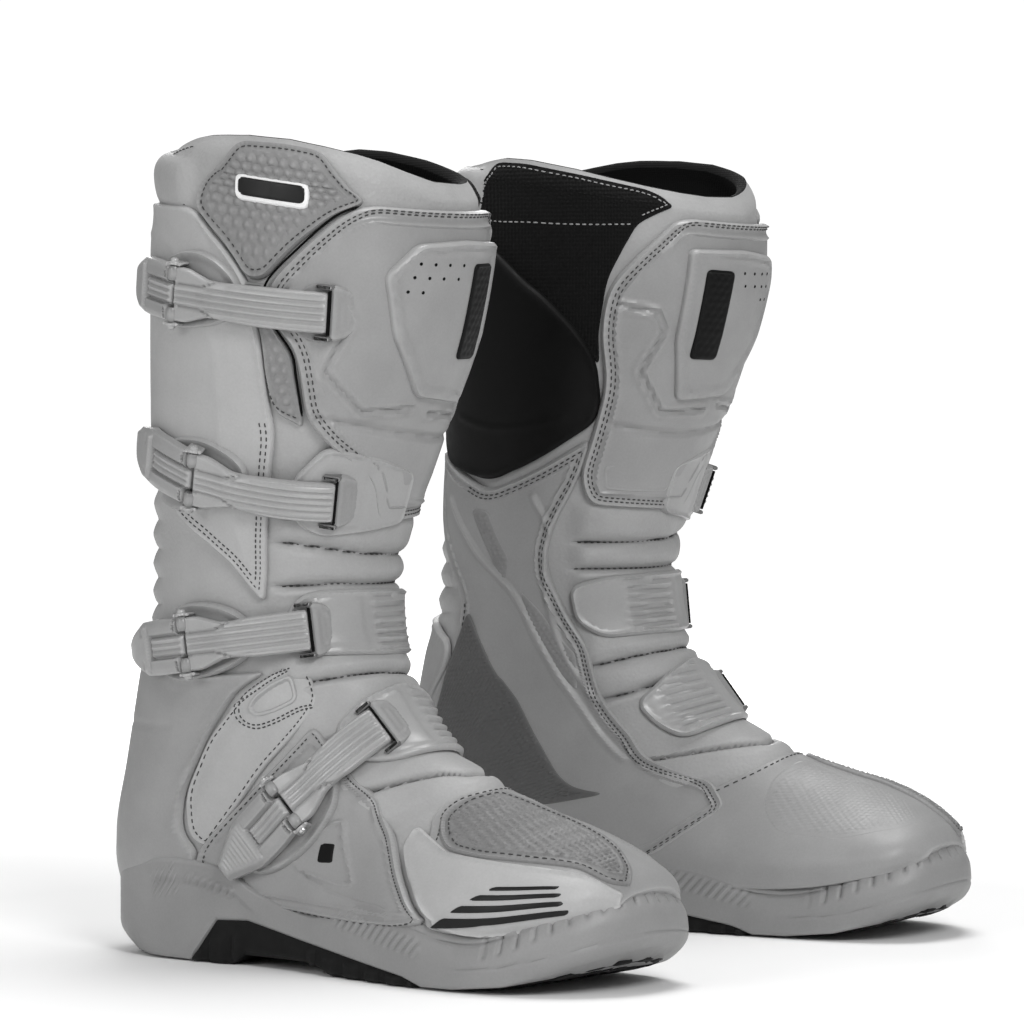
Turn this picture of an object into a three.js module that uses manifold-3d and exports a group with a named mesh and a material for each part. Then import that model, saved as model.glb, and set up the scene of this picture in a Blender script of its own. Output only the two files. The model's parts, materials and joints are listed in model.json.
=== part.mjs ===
// A pair of tall motocross boots. Each boot has a moulded sole, a leather foot, a bellows round the
// ankle, a stiff shaft with calf and shin plates, and four buckles that close it on the outer side.
//
// Millimetres, +Z up, toes towards +X, soles on z = 0. One right boot is described in its own frame
// (heel at x = 0, outer side towards -Y); the left boot is its mirror image.
import * as THREE from 'three';
import { mergeVertices } from 'three/addons/utils/BufferGeometryUtils.js';
import Module from 'manifold-3d';

const wasm = await Module();
wasm.setup();

// ---- Driving dimensions ---------------------------------------------------------------------

const BOOT_SPACING = 240;       // between the two boots' middle planes
const TOE_OUT_DEGREES = 5;      // each boot turned outwards
const TURN_X = 100;             // the boot turns about this point of its own length

const LEATHER = 6;              // wall of the upper, padding included
const PANEL = [1.6, 3.9];       // height of a moulded panel over the leather: underside, top
const OVERLAY = [5.2, 7.3];     // height of a piece that sits on a panel
const PROUD = [3.1, 5.0];       // height of a panel that bridges a bend in the leather
const GAP = 0.4;                // clearance between neighbouring pieces

const ANKLE = [85, 0, 110];     // where the shaft hinges on the foot
const SLEEVE = { top: 4.45, bottom: 6.1 };  // stations that the ankle bellows spans
const STATION_GAP = 0.05;       // seam between bellows and its neighbours, in stations

const STRAP = { width: 19, thickness: 2.4, lift: 9, bow: 1.2 };
const PIVOT = { lift: 12, pin: 2, clearance: 0.45, wall: 1.6 };
const LEVER = { width: 23.8, thickness: 3.4, lift: 10.4, droop: 0.8, nose: 3, cheek: 2 };
const EAR = { thickness: 2.2, gap: 0.4, half: 4.6, over: 3.2, root: 0.8 };
const KEEPER_PIN = 1.2;

const AROUND = 24;              // facets round the leg and foot
const FACET_DEGREES = 18;       // width of a facet on a panel
const SLANT_DEGREES = 15;       // most that an edge moves round the boot between two rows

// ---- The boot's surface -----------------------------------------------------------------------
// Sections run from the top of the shaft (station 0) round the ankle to the toe (station 17). Each
// is a flattened oval between a point on the back or underside and a point on the front or top, as
// [x, z]. `half` is half its width. `low` moves the widest place down, `square` squares its lower
// half, and `shift` moves it towards the inner side.

const SECTIONS = [
  { back: [24, 387], front: [187, 360], half: 66 },
  { back: [22, 362], front: [188, 337], half: 67 },
  { back: [22, 312], front: [180, 300], half: 66 },
  { back: [21, 267], front: [167, 258], half: 62 },
  { back: [20, 227], front: [153, 219], half: 56 },
  { back: [18, 190], front: [141, 188], half: 51 },
  { back: [14, 156], front: [139, 162], half: 48 },
  { back: [7, 122], front: [147, 141], half: 47, low: 0.05, square: 2.3 },
  { back: [1, 88], front: [161, 124], half: 46, low: 0.15, square: 2.5 },
  { back: [-2, 54], front: [176, 109], half: 45, low: 0.3, square: 3 },
  { back: [8, 27], front: [191, 99], half: 44, low: 0.45, square: 3.6, shift: 1 },
  { back: [58, 21], front: [207, 91], half: 43, low: 0.5, square: 4, shift: 2 },
  { back: [113, 20], front: [226, 83], half: 44, low: 0.5, square: 4, shift: 2 },
  { back: [163, 18], front: [247, 77], half: 48, low: 0.5, square: 4 },
  { back: [205, 18], front: [267, 72], half: 51, low: 0.5, square: 4, shift: -1 },
  { back: [245, 22], front: [285, 65], half: 48, low: 0.5, square: 3.6, shift: 1 },
  { back: [278, 30], front: [298, 56], half: 38, low: 0.4, square: 3, shift: 4 },
  { back: [298, 37], front: [304, 46], half: 18, low: 0.2, square: 2.4, shift: 7 },
];
const CROWN = 2.2;              // roundness of every section's upper half
const TOE = SECTIONS.length - 1;

const sectionNumbers = SECTIONS.map(({ back, front, half, low = 0, square = CROWN, shift = 0 }) =>
  [...back, ...front, half, low, square, shift]);

// The section at any station, by a Catmull-Rom curve through the listed ones.
function sectionAt(station) {
  const first = Math.min(Math.max(Math.floor(station), 0), TOE - 1);
  const t = station - first;
  const row = (i) => sectionNumbers[Math.min(Math.max(i, 0), TOE)];
  return row(first).map((_, k) => {
    const [a, b, c, d] = [-1, 0, 1, 2].map((step) => row(first + step)[k]);
    const bend = (2 * a - 5 * b + 4 * c - d) * t + (3 * b - a - 3 * c + d) * t * t;
    return b + 0.5 * t * (c - a + bend);
  });
}

const powered = (value, power) => Math.sign(value) * Math.abs(value) ** power;

// Angle 0 is the front or top, 90 the outer side, 180 the back or underside, 270 the inner side.
function skinPoint(angle, station) {
  const [backX, backZ, frontX, frontZ, half, low, square, shift] = sectionAt(station);
  const turn = THREE.MathUtils.degToRad(angle);
  const power = 2 / (Math.cos(turn) >= 0 ? CROWN : square);
  const up = powered(Math.cos(turn), power);
  const along = -low + (up >= 0 ? 1 + low : 1 - low) * up;
  return new THREE.Vector3(
    (backX + frontX) / 2 + (along * (frontX - backX)) / 2,
    shift - half * powered(Math.sin(turn), power),
    (backZ + frontZ) / 2 + (along * (frontZ - backZ)) / 2,
  );
}

function skinNormal(angle, station) {
  const step = { angle: 1.5, station: 0.02 };  // for slopes by differences
  const round = skinPoint(angle + step.angle, station).sub(skinPoint(angle - step.angle, station));
  const down = skinPoint(angle, station + step.station).sub(skinPoint(angle, station - step.station));
  return round.cross(down).normalize();
}

const liftedPoint = (angle, station, lift) =>
  skinPoint(angle, station).addScaledVector(skinNormal(angle, station), lift);

// ---- Solids ------------------------------------------------------------------------------------

function toSolid(geometry) {
  geometry.deleteAttribute('normal');
  geometry.deleteAttribute('uv');
  const merged = mergeVertices(geometry, 1e-4);
  const vertProperties = new Float32Array(merged.attributes.position.array);
  const triVerts = new Uint32Array(merged.index.array);
  return new wasm.Manifold(new wasm.Mesh({ numProp: 3, vertProperties, triVerts }));
}

function toGeometry(solid) {
  const { vertProperties, triVerts } = solid.getMesh();
  const geometry = new THREE.BufferGeometry();
  geometry.setAttribute('position', new THREE.BufferAttribute(new Float32Array(vertProperties), 3));
  geometry.setIndex(new THREE.BufferAttribute(new Uint32Array(triVerts), 1));
  geometry.computeVertexNormals();
  return geometry;
}

const joined = (...solids) => solids.reduce((whole, solid) => whole.add(solid));

// A closed mesh from named grids of points. Faces are added as quads, wound outwards.
class MeshBuilder {
  points = [];
  triangles = [];

  grid(rows) {
    return rows.map((row) => row.map((point) => this.points.push(point) - 1));
  }

  quad(a, b, c, d) {
    this.triangles.push(a, b, c, a, c, d);
  }

  // The sheet between a grid's rows; `closed` joins the last column to the first.
  sheet(grid, closed, inwards = false) {
    const columns = grid[0].length;
    for (let i = 0; i + 1 < grid.length; i += 1) {
      for (let j = 0; j < (closed ? columns : columns - 1); j += 1) {
        const k = (j + 1) % columns;
        const corners = [grid[i][j], grid[i][k], grid[i + 1][k], grid[i + 1][j]];
        this.quad(...(inwards ? corners.reverse() : corners));
      }
    }
  }

  // A wall between two lists of corners.
  wall(from, to, closed) {
    for (let j = 0; j < (closed ? from.length : from.length - 1); j += 1) {
      const k = (j + 1) % from.length;
      this.quad(from[j], from[k], to[k], to[j]);
    }
  }

  // A fan that closes a ring, round the ring's middle.
  cap(ring, reversed) {
    const middle = ring.reduce((sum, i) => sum.add(this.points[i]), new THREE.Vector3());
    const centre = this.points.push(middle.divideScalar(ring.length)) - 1;
    ring.forEach((corner, j) => {
      const next = ring[(j + 1) % ring.length];
      this.triangles.push(centre, ...(reversed ? [next, corner] : [corner, next]));
    });
  }

  solid() {
    const geometry = new THREE.BufferGeometry().setFromPoints(this.points);
    geometry.setIndex(this.triangles);
    return toSolid(geometry);
  }
}

const ringOf = (station, lift) => Array.from({ length: AROUND }, (_, j) =>
  liftedPoint((360 * j) / AROUND, station, lift));

// An open tube of leather between two stations.
function tube(stations, inner, outer) {
  const mesh = new MeshBuilder();
  const outside = mesh.grid(stations.map((station) => ringOf(station, outer)));
  const inside = mesh.grid(stations.map((station) => ringOf(station, inner)));
  mesh.sheet(outside, true);
  mesh.sheet(inside, true, true);
  mesh.wall(inside[0], outside[0], true);
  mesh.wall(outside.at(-1), inside.at(-1), true);
  return mesh.solid();
}

// A shoe-shaped shell: open at its first station and closed at the toe.
function shoe(stations, insideEnd, inner) {
  const mesh = new MeshBuilder();
  const outside = mesh.grid(stations.map((station) => ringOf(station, 0)));
  const inStations = stations.filter((station) => station < insideEnd).concat(insideEnd);
  const inside = mesh.grid(inStations.map((station) => ringOf(station, inner)));
  mesh.sheet(outside, true);
  mesh.sheet(inside, true, true);
  mesh.wall(inside[0], outside[0], true);
  mesh.cap(outside.at(-1), false);
  mesh.cap(inside.at(-1), true);
  return mesh.solid();
}

// The space that the foot fills, grown by `lift`.
function footSpace(stations, lift) {
  const mesh = new MeshBuilder();
  const outside = mesh.grid(stations.map((station) => ringOf(station, lift)));
  mesh.sheet(outside, true);
  mesh.cap(outside[0], true);
  mesh.cap(outside.at(-1), false);
  return mesh.solid();
}

const between = (from, to, t) => from.map((value, k) => value + (to[k] - value) * t);

// Rows of [station, from angle, to angle], with a row added at each whole station between them, so
// that facets run level with those of the leather below, and more rows where an edge slants.
function filledRows(rows) {
  return rows.slice(1).reduce((filled, row, i) => {
    const last = rows[i];
    const slant = Math.max(Math.abs(row[1] - last[1]), Math.abs(row[2] - last[2]));
    const parts = Math.ceil(slant / SLANT_DEGREES) || 1;
    const steps = Array.from({ length: parts }, (_, j) => (j + 1) / parts);
    for (let s = Math.floor(last[0]) + 1; s < row[0]; s += 1) {
      steps.push((s - last[0]) / (row[0] - last[0]));
    }
    return [...filled, ...steps.sort((p, q) => p - q).map((t) => between(last, row, t))];
  }, [rows[0]]);
}

// A curved plate that follows the boot between the edges that its rows give.
function panel(rows, [inner, outer]) {
  const lines = filledRows(rows);
  const widest = Math.max(...lines.map(([, from, to]) => to - from));
  const columns = Math.max(1, Math.ceil(widest / FACET_DEGREES));
  const at = (lift) => lines.map(([station, from, to]) =>
    Array.from({ length: columns + 1 }, (_, j) =>
      liftedPoint(from + ((to - from) * j) / columns, station, lift)));
  const mesh = new MeshBuilder();
  const outside = mesh.grid(at(outer));
  const inside = mesh.grid(at(inner));
  mesh.sheet(outside, false);
  mesh.sheet(inside, false, true);
  mesh.wall(inside[0], outside[0], false);
  mesh.wall(outside.at(-1), inside.at(-1), false);
  const edge = (grid, j) => grid.map((row) => row.at(j));
  mesh.wall(edge(outside, 0), edge(inside, 0), false);
  mesh.wall(edge(inside, -1), edge(outside, -1), false);
  return mesh.solid();
}

// A flat shape, extruded evenly to both sides of the plane of `frame` (a matrix whose first two
// columns span that plane).
function extruded(shape, depth, frame, curveSegments = 4) {
  const geometry = new THREE.ExtrudeGeometry(shape, { depth, bevelEnabled: false, curveSegments });
  geometry.translate(0, 0, -depth / 2);
  geometry.applyMatrix4(frame);
  return toSolid(geometry);
}

const shapeOf = (points) => new THREE.Shape(points.map(([x, y]) => new THREE.Vector2(x, y)));

function circleShape(x, y, radius) {
  const shape = new THREE.Shape();
  shape.absarc(x, y, radius, 0, 2 * Math.PI);
  return shape;
}

// ---- The sole ----------------------------------------------------------------------------------

const SOLE_OUTLINE = [
  [-6, 0], [2, -30], [28, -46.5], [100, -46], [160, -50], [216, -56.5], [262, -52], [292, -36],
  [307, -10], [308, 14], [299, 38], [272, 51], [222, 54.5], [160, 51.5], [100, 49.5], [28, 47.5],
  [2, 32],
];
const SOLE_TOP = [[-14, 47], [22, 44], [105, 28], [165, 34], [232, 24], [282, 32], [316, 43]];
const OUTSOLE_TOP = [[-14, 17], [96, 17], [140, 12], [176, 8.5], [250, 8.5], [290, 13], [316, 22]];
const OUTSOLE_BOTTOM = [[316, 16], [298, 7], [276, 2], [254, 0], [158, 0], [138, 5], [96, 5], [88, 0],
  [-14, 0]];
const TREAD = { width: 5, depth: 2.5, forefoot: [176, 194, 212, 230], heel: [12, 74] };
const SOLE_SPAN = 140;          // wider than the sole

const SIDE_VIEW = new THREE.Matrix4().makeBasis(
  new THREE.Vector3(1, 0, 0), new THREE.Vector3(0, 0, 1), new THREE.Vector3(0, -1, 0));

const smooth = (points, count) => new THREE.SplineCurve(
  points.map(([x, y]) => new THREE.Vector2(x, y))).getPoints(count).map(({ x, y }) => [x, y]);

const raised = (points, rise) => points.map(([x, z]) => [x, z + rise]);

function soleColumn() {
  const outline = smooth([...SOLE_OUTLINE, SOLE_OUTLINE[0]], 38).slice(0, -1);
  return extruded(shapeOf(outline), 2 * SOLE_SPAN, new THREE.Matrix4());
}

function outsole() {
  const side = shapeOf([...OUTSOLE_TOP, ...OUTSOLE_BOTTOM]);
  const tread = [...TREAD.forefoot, ...TREAD.heel].map((x) => {
    const groove = new THREE.BoxGeometry(TREAD.width, SOLE_SPAN, 2 * TREAD.depth);
    return toSolid(groove.translate(x, 0, 0));
  });
  const block = extruded(side, SOLE_SPAN, SIDE_VIEW).intersect(soleColumn());
  return tread.reduce((sole, groove) => sole.subtract(groove), block);
}

function soleShell() {
  const top = smooth(SOLE_TOP, 14);
  const side = shapeOf([...raised(OUTSOLE_TOP, GAP), ...top.reverse()]);
  const block = extruded(side, SOLE_SPAN, SIDE_VIEW).intersect(soleColumn());
  const stations = [8.4, 9, 9.5, 10, 10.5, 11, 12, 13, 14, 15, 16, TOE + 0.06];
  return block.subtract(footSpace(stations, GAP + 0.2));
}

// Everything below the sole shell's upper edge, with clearance: panels end above it.
function belowSoleEdge() {
  const top = raised(smooth(SOLE_TOP, 14), GAP);
  const side = shapeOf([[-14, -20], [316, -20], ...top.reverse()]);
  return extruded(side, SOLE_SPAN, SIDE_VIEW);
}

// ---- Uppers and panels ---------------------------------------------------------------------------
// A panel's rows are [station, from angle, to angle]; negative angles are on the inner side.

const FOOT_STATIONS = [SLEEVE.bottom + STATION_GAP, 7, 8, 8.6, 9.3, 10, 10.5, 11, 12, 13, 14, 15, 16, TOE];
const SHAFT_STATIONS = [0, 1, 2, 3, 3.7, SLEEVE.top - STATION_GAP];
const SLEEVE_STATIONS = [SLEEVE.top, 5.3, SLEEVE.bottom];
const INSIDE_END = 15.7;

const INSOLE = [[10.5, 150, 210], [11, 142, 218], [15, 142, 218]];
const TOE_CAP = [[13, -50, 50], [14, -90, 90], [15, -105, 105], [17, -105, 105]];
const HEEL_COUNTER = [[6.5, 108, 234], [7, 98, 236], [7.5, 84, 226], [8, 90, 224], [8.7, 92, 222],
  [9.3, 92, 221], [10, 92, 220]];
const SIDE_GUARD = [[8.4, 45, 52], [9.15, 42, 66], [10.1, 42, 88], [10.9, 42, 100], [11.6, 49, 106],
  [12.4, 58, 106], [13.2, 70, 96]];
const MEDIAL_PANEL = [[6.2, 250, 297], [6.9, 242, 303], [7.5, 232, 304], [8, 229, 306],
  [9.05, 227, 311], [10, 230, 313], [10.5, 250, 313], [11.9, 262, 312]];
const CALF_PLATE = [[0.9, 98, 150], [1.55, 80, 156], [2.1, 75, 158], [3.05, 66, 156],
  [3.7, 62, 146], [4.3, 62, 126]];
const SHIN_PLATE = [[0.35, -36, 34], [1, -50, 52], [1.55, -63, 66], [2.1, -63, 67],
  [2.6, -58, 56], [3.05, -57, 48], [3.4, -58, 38], [3.8, -60, 10], [4.25, -50, 0]];
const SHIN_BADGE = [[1, -31, 18], [1.45, -31, 26], [2.1, -30, 18], [2.6, -27, 3]];
const MEDIAL_GUARD = [[0.9, 240, 300], [1.55, 235, 293], [2.1, 228, 293], [2.8, 218, 297],
  [3.3, 212, 296], [3.9, 232, 270]];

const footPanel = (rows, lift = PANEL) => panel(rows, lift).subtract(belowSoleEdge());

// ---- Buckles -------------------------------------------------------------------------------------
// A buckle is a bracket with two ears, a lever on a pin that rests in them, a strap from the pin
// forwards round the boot, and a keeper that holds the strap's other end. `pivot` and `keeper` are
// the two ends and `tip` the lever's free end, as [angle, station]. The rows are the base plates.

const BUCKLES = [
  { pivot: [100.5, 1.8], keeper: [46, 1.86], tip: 139, base: OVERLAY, pad: OVERLAY,
    bracketRows: [[1.48, 86, 108], [2.12, 86, 108]], keeperRows: [[1.5, 38, 55], [2.22, 38, 55]] },
  { pivot: [90.5, 3.78], keeper: [30, 4.0], tip: 138, base: OVERLAY, pad: OVERLAY,
    bracketRows: [[3.4, 76, 99], [4.16, 76, 99]],
    keeperRows: [[3.5, -8, 44], [4.05, -11, 46], [4.38, -9, 40]] },
  { pivot: [91.5, 6.25], keeper: [38, 6.1], tip: 136, base: PANEL, pad: PANEL,
    bracketRows: [[5.7, 72, 101], [6.8, 74, 101]],
    keeperRows: [[5.4, -58, 34], [5.8, -60, 48], [6.3, -54, 48], [6.75, -46, 42]] },
  { pivot: [60, 9.75], keeper: [22, 8.55], tip: 85, base: OVERLAY, pad: PROUD,
    bracketRows: [[9, 50, 64], [9.7, 48, 72], [10.6, 52, 72]],
    keeperRows: [[7.7, -8, 26], [8, -26, 35], [8.6, -41, 37], [9.3, -36, 34], [9.7, -30, 14]] },
];
const STRAP_STEPS = 4;
const LEVER_STEPS = 3;

// The upright plane in which a buckle works. Its axes are u (from pivot to keeper), v (outwards)
// and w (along both hinge axes).
function bucklePlane({ pivot, keeper }) {
  const origin = liftedPoint(...pivot, PIVOT.lift);
  const end = liftedPoint(...keeper, STRAP.lift);
  const outwards = skinNormal(...pivot).add(skinNormal(...keeper));
  const u = end.clone().sub(origin).normalize();
  const v = outwards.addScaledVector(u, -outwards.dot(u)).normalize();
  const w = u.clone().cross(v);
  const matrix = new THREE.Matrix4().makeBasis(u, v, w).setPosition(origin);
  return { origin, end, u, v, w, matrix };
}

// The point over the skin at `angle` that lies in the buckle's plane, as [u, v].
function inPlane(plane, angle, station, lift) {
  const offPlane = (s) => liftedPoint(angle, s, lift).sub(plane.origin).dot(plane.w);
  let [low, high] = [station - 1.6, station + 1.6];
  for (let i = 0; i < 24; i += 1) {
    const middle = (low + high) / 2;
    if (offPlane(low) * offPlane(middle) <= 0) high = middle;
    else low = middle;
  }
  const point = liftedPoint(angle, (low + high) / 2, lift).sub(plane.origin);
  return [point.dot(plane.u), point.dot(plane.v)];
}

// A ribbon's cross-section: the line through `path`, with half the thickness on each side.
function ribbonShape(path, thickness) {
  const side = (sign) => path.map(([x, y], i) => {
    const [ax, ay] = path[Math.max(i - 1, 0)];
    const [bx, by] = path[Math.min(i + 1, path.length - 1)];
    const length = Math.hypot(bx - ax, by - ay);
    const half = (sign * thickness) / 2;
    return [x - ((by - ay) / length) * half, y + ((bx - ax) / length) * half];
  });
  return shapeOf([...side(1), ...side(-1).reverse()]);
}

const slab = (shape, plane, from, to) => {
  const shifted = plane.matrix.clone().multiply(
    new THREE.Matrix4().makeTranslation(0, 0, (from + to) / 2));
  return extruded(shape, to - from, shifted);
};

const centred = (shape, plane, width) => slab(shape, plane, -width / 2, width / 2);

function strapPath(plane, { pivot, keeper }) {
  const end = [plane.end.clone().sub(plane.origin).length(), 0];
  const bow = Array.from({ length: STRAP_STEPS - 1 }, (_, i) => {
    const t = (i + 1) / STRAP_STEPS;
    const rise = STRAP.lift + STRAP.bow * (1 - t) ** 2;
    const [angle, station] = pivot.map((value, k) => value + (keeper[k] - value) * t);
    return inPlane(plane, angle, station, rise);
  });
  return [[0, 0], ...bow, end];
}

function strap(plane, buckle) {
  const path = strapPath(plane, buckle);
  const [endX, endY] = path.at(-1);
  const eye = PIVOT.pin + PIVOT.clearance;
  const band = joined(
    centred(ribbonShape(path, STRAP.thickness), plane, STRAP.width),
    centred(circleShape(0, 0, eye + PIVOT.wall), plane, STRAP.width),
    centred(circleShape(endX, endY, KEEPER_PIN), plane, STRAP.width + 2 * (EAR.gap + EAR.thickness)),
  );
  return band.subtract(centred(circleShape(0, 0, eye), plane, 2 * STRAP.width));
}

function leverPath(plane, { pivot, tip }) {
  const [angle, station] = pivot;
  return Array.from({ length: LEVER_STEPS }, (_, i) => {
    const t = (i + 1) / LEVER_STEPS;
    return inPlane(plane, angle + (tip - angle) * t, station, LEVER.lift - LEVER.droop * t);
  });
}

// The lever's front end is forked, to straddle the strap's eye on the pin.
function lever(plane, buckle) {
  const path = leverPath(plane, buckle);
  const [x, y] = path[0];
  const nose = LEVER.nose / Math.hypot(x, y);
  const profile = ribbonShape([[-x * nose, -y * nose], [0, 0], ...path], LEVER.thickness);
  const fork = PIVOT.pin + PIVOT.clearance + PIVOT.wall + 2 * GAP;
  const bar = centred(profile, plane, LEVER.width)
    .subtract(centred(circleShape(0, 0, fork), plane, LEVER.width - 2 * LEVER.cheek));
  const pin = circleShape(0, 0, PIVOT.pin);
  return bar.add(centred(pin, plane, LEVER.width + 2 * (EAR.gap + EAR.thickness)));
}

// Two ears that stand on a base plate and hold a pin at `centre` (in the buckle's plane).
function ears(plane, [angle, station], centre, pin, spread, foot, openUpwards) {
  const normal = skinNormal(angle, station);
  const tilt = Math.atan2(-normal.dot(plane.u), normal.dot(plane.v));
  const rim = pin + PIVOT.clearance;
  const place = new THREE.Matrix4().makeTranslation(...centre, 0).premultiply(plane.matrix);
  const upright = { matrix: place };
  const tilted = { matrix: place.clone().multiply(new THREE.Matrix4().makeRotationZ(tilt)) };
  const { half, over } = EAR;
  const body = shapeOf([[-half, -foot], [half, -foot], [half, over], [-half, over]]);
  const notch = shapeOf([[-rim, 0], [rim, 0], [rim, 4 * over], [-rim, 4 * over]]);
  const hole = centred(circleShape(0, 0, rim), upright, 3 * spread);
  const cut = openUpwards ? hole.add(centred(notch, upright, 3 * spread)) : hole;
  return [-1, 1].map((side) => {
    const [from, to] = [side * spread, side * (spread + EAR.thickness)].sort((a, b) => a - b);
    return slab(body, tilted, from, to).subtract(cut);
  });
}

function bracket(plane, buckle) {
  const foot = PIVOT.lift - buckle.base[0] - EAR.root;
  const spread = LEVER.width / 2 + EAR.gap;
  const posts = ears(plane, buckle.pivot, [0, 0], PIVOT.pin, spread, foot, true);
  return joined(panel(buckle.bracketRows, buckle.base), ...posts);
}

function keeper(plane, buckle) {
  const foot = STRAP.lift - buckle.pad[0] - EAR.root;
  const spread = STRAP.width / 2 + EAR.gap;
  const end = [plane.end.clone().sub(plane.origin).length(), 0];
  const posts = ears(plane, buckle.keeper, end, KEEPER_PIN, spread, foot, false);
  return joined(panel(buckle.keeperRows, buckle.pad), ...posts);
}

// ---- Assembly ------------------------------------------------------------------------------------

const MATERIALS = {
  leather: { color: 0xb4b4b2, roughness: 0.55, metalness: 0 },
  moulded: { color: 0xa2a2a0, roughness: 0.42, metalness: 0 },
  matte: { color: 0x929290, roughness: 0.7, metalness: 0 },
  rubber: { color: 0x1c1c1c, roughness: 0.75, metalness: 0 },
  lining: { color: 0x2b2b2b, roughness: 0.9, metalness: 0 },
  alloy: { color: 0x9a9a9a, roughness: 0.35, metalness: 0.8 },
};

// Every piece of one boot: [name, solid, material, hinge]. A hinge is the piece's own turning axis.
function bootPieces() {
  const ankle = { point: new THREE.Vector3(...ANKLE), axis: new THREE.Vector3(0, 1, 0) };
  const pieces = [
    ['outsole', outsole(), 'rubber'],
    ['sole_shell', soleShell(), 'moulded'],
    ['insole', panel(INSOLE, [-LEATHER - 3.5, -LEATHER - 1]), 'lining'],
    ['foot_upper', shoe(FOOT_STATIONS, INSIDE_END, -LEATHER), 'leather'],
    ['toe_cap', footPanel(TOE_CAP, PROUD), 'moulded'],
    ['heel_counter', footPanel(HEEL_COUNTER, PROUD), 'moulded'],
    ['side_guard', footPanel(SIDE_GUARD), 'moulded'],
    ['medial_panel', footPanel(MEDIAL_PANEL), 'matte'],
    ['ankle_sleeve', tube(SLEEVE_STATIONS, -LEATHER, 0), 'leather'],
    ['shaft_upper', tube(SHAFT_STATIONS, -LEATHER, 0), 'lining', ankle],
    ['calf_plate', panel(CALF_PLATE, PANEL), 'moulded'],
    ['shin_plate', panel(SHIN_PLATE, PANEL), 'moulded'],
    ['shin_badge', panel(SHIN_BADGE, OVERLAY), 'matte'],
    ['medial_guard', panel(MEDIAL_GUARD, PANEL), 'rubber'],
  ];
  BUCKLES.forEach((buckle, i) => {
    const plane = bucklePlane(buckle);
    const number = i + 1;
    pieces.push(
      [`bracket_${number}`, bracket(plane, buckle), 'matte'],
      [`keeper_${number}`, keeper(plane, buckle), 'moulded'],
      [`strap_${number}`, strap(plane, buckle), 'moulded', { point: plane.end, axis: plane.w }],
      [`lever_${number}`, lever(plane, buckle), 'alloy', { point: plane.origin, axis: plane.w }],
    );
  });
  return pieces.map(([name, solid, finish, hinge]) => ({
    name, geometry: toGeometry(solid), finish, hinge,
  }));
}

function boot(side, pieces) {
  const group = new THREE.Group();
  pieces.forEach(({ name, geometry, finish, hinge }) => {
    const mesh = new THREE.Mesh(geometry, new THREE.MeshStandardMaterial(MATERIALS[finish]));
    mesh.name = `${side}_${name}`;
    mesh.userData.hinge = hinge;
    mesh.position.x = -TURN_X;
    group.add(mesh);
  });
  const mirror = side === 'left' ? 1 : -1;
  group.scale.y = -mirror;
  group.rotation.z = THREE.MathUtils.degToRad(mirror * TOE_OUT_DEGREES);
  group.position.y = (mirror * BOOT_SPACING) / 2;
  return group;
}

const pieces = bootPieces();
const pair = new THREE.Group();
pair.add(boot('right', pieces), boot('left', pieces));

// The origin is the middle of the pair's footprint.
const extent = new THREE.Box3().setFromObject(pair, true);
pair.position.x = -(extent.min.x + extent.max.x) / 2;

export default pair;
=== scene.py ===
"""A pair of motocross boots: the visible model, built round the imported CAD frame.

Every piece of a boot is laid out once, in the right boot's own frame (millimetres, heel at x = 0, toes
towards +X, outer side towards -Y), and then placed for both boots. Most pieces lie on the boot's skin,
where a place is (angle, station): angle 0 is the front or top, 90 the outer side, 180 the back, and
negative angles are on the inner side; station 0 is the top of the shaft and station 17 the toe.
"""
import json
import math

import bpy
import numpy as np
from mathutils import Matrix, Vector, geometry


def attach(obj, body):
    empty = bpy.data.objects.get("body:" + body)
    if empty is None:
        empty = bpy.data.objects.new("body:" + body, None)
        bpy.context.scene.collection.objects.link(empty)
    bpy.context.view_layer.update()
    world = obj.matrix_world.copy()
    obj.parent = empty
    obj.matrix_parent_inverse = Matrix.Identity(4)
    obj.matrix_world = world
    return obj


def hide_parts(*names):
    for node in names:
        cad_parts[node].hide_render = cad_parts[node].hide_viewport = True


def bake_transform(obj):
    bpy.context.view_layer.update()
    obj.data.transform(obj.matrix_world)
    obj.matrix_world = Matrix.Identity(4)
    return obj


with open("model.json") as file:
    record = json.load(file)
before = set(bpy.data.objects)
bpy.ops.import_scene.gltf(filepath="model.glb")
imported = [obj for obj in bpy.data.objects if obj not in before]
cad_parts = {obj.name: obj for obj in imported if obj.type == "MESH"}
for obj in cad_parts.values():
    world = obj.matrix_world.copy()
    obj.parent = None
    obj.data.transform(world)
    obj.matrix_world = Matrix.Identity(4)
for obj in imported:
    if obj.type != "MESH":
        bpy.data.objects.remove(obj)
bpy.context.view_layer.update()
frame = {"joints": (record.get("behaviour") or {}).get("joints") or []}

SIDES = ("right", "left")
MM = 0.001

# ---- The boot's skin ------------------------------------------------------------------------------
# A section is a flattened oval between a point on the back or underside and a point on the front or
# top: back x, z, front x, z, half width, how low its widest place is, squareness of its lower half,
# shift towards the inner side.

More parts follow.
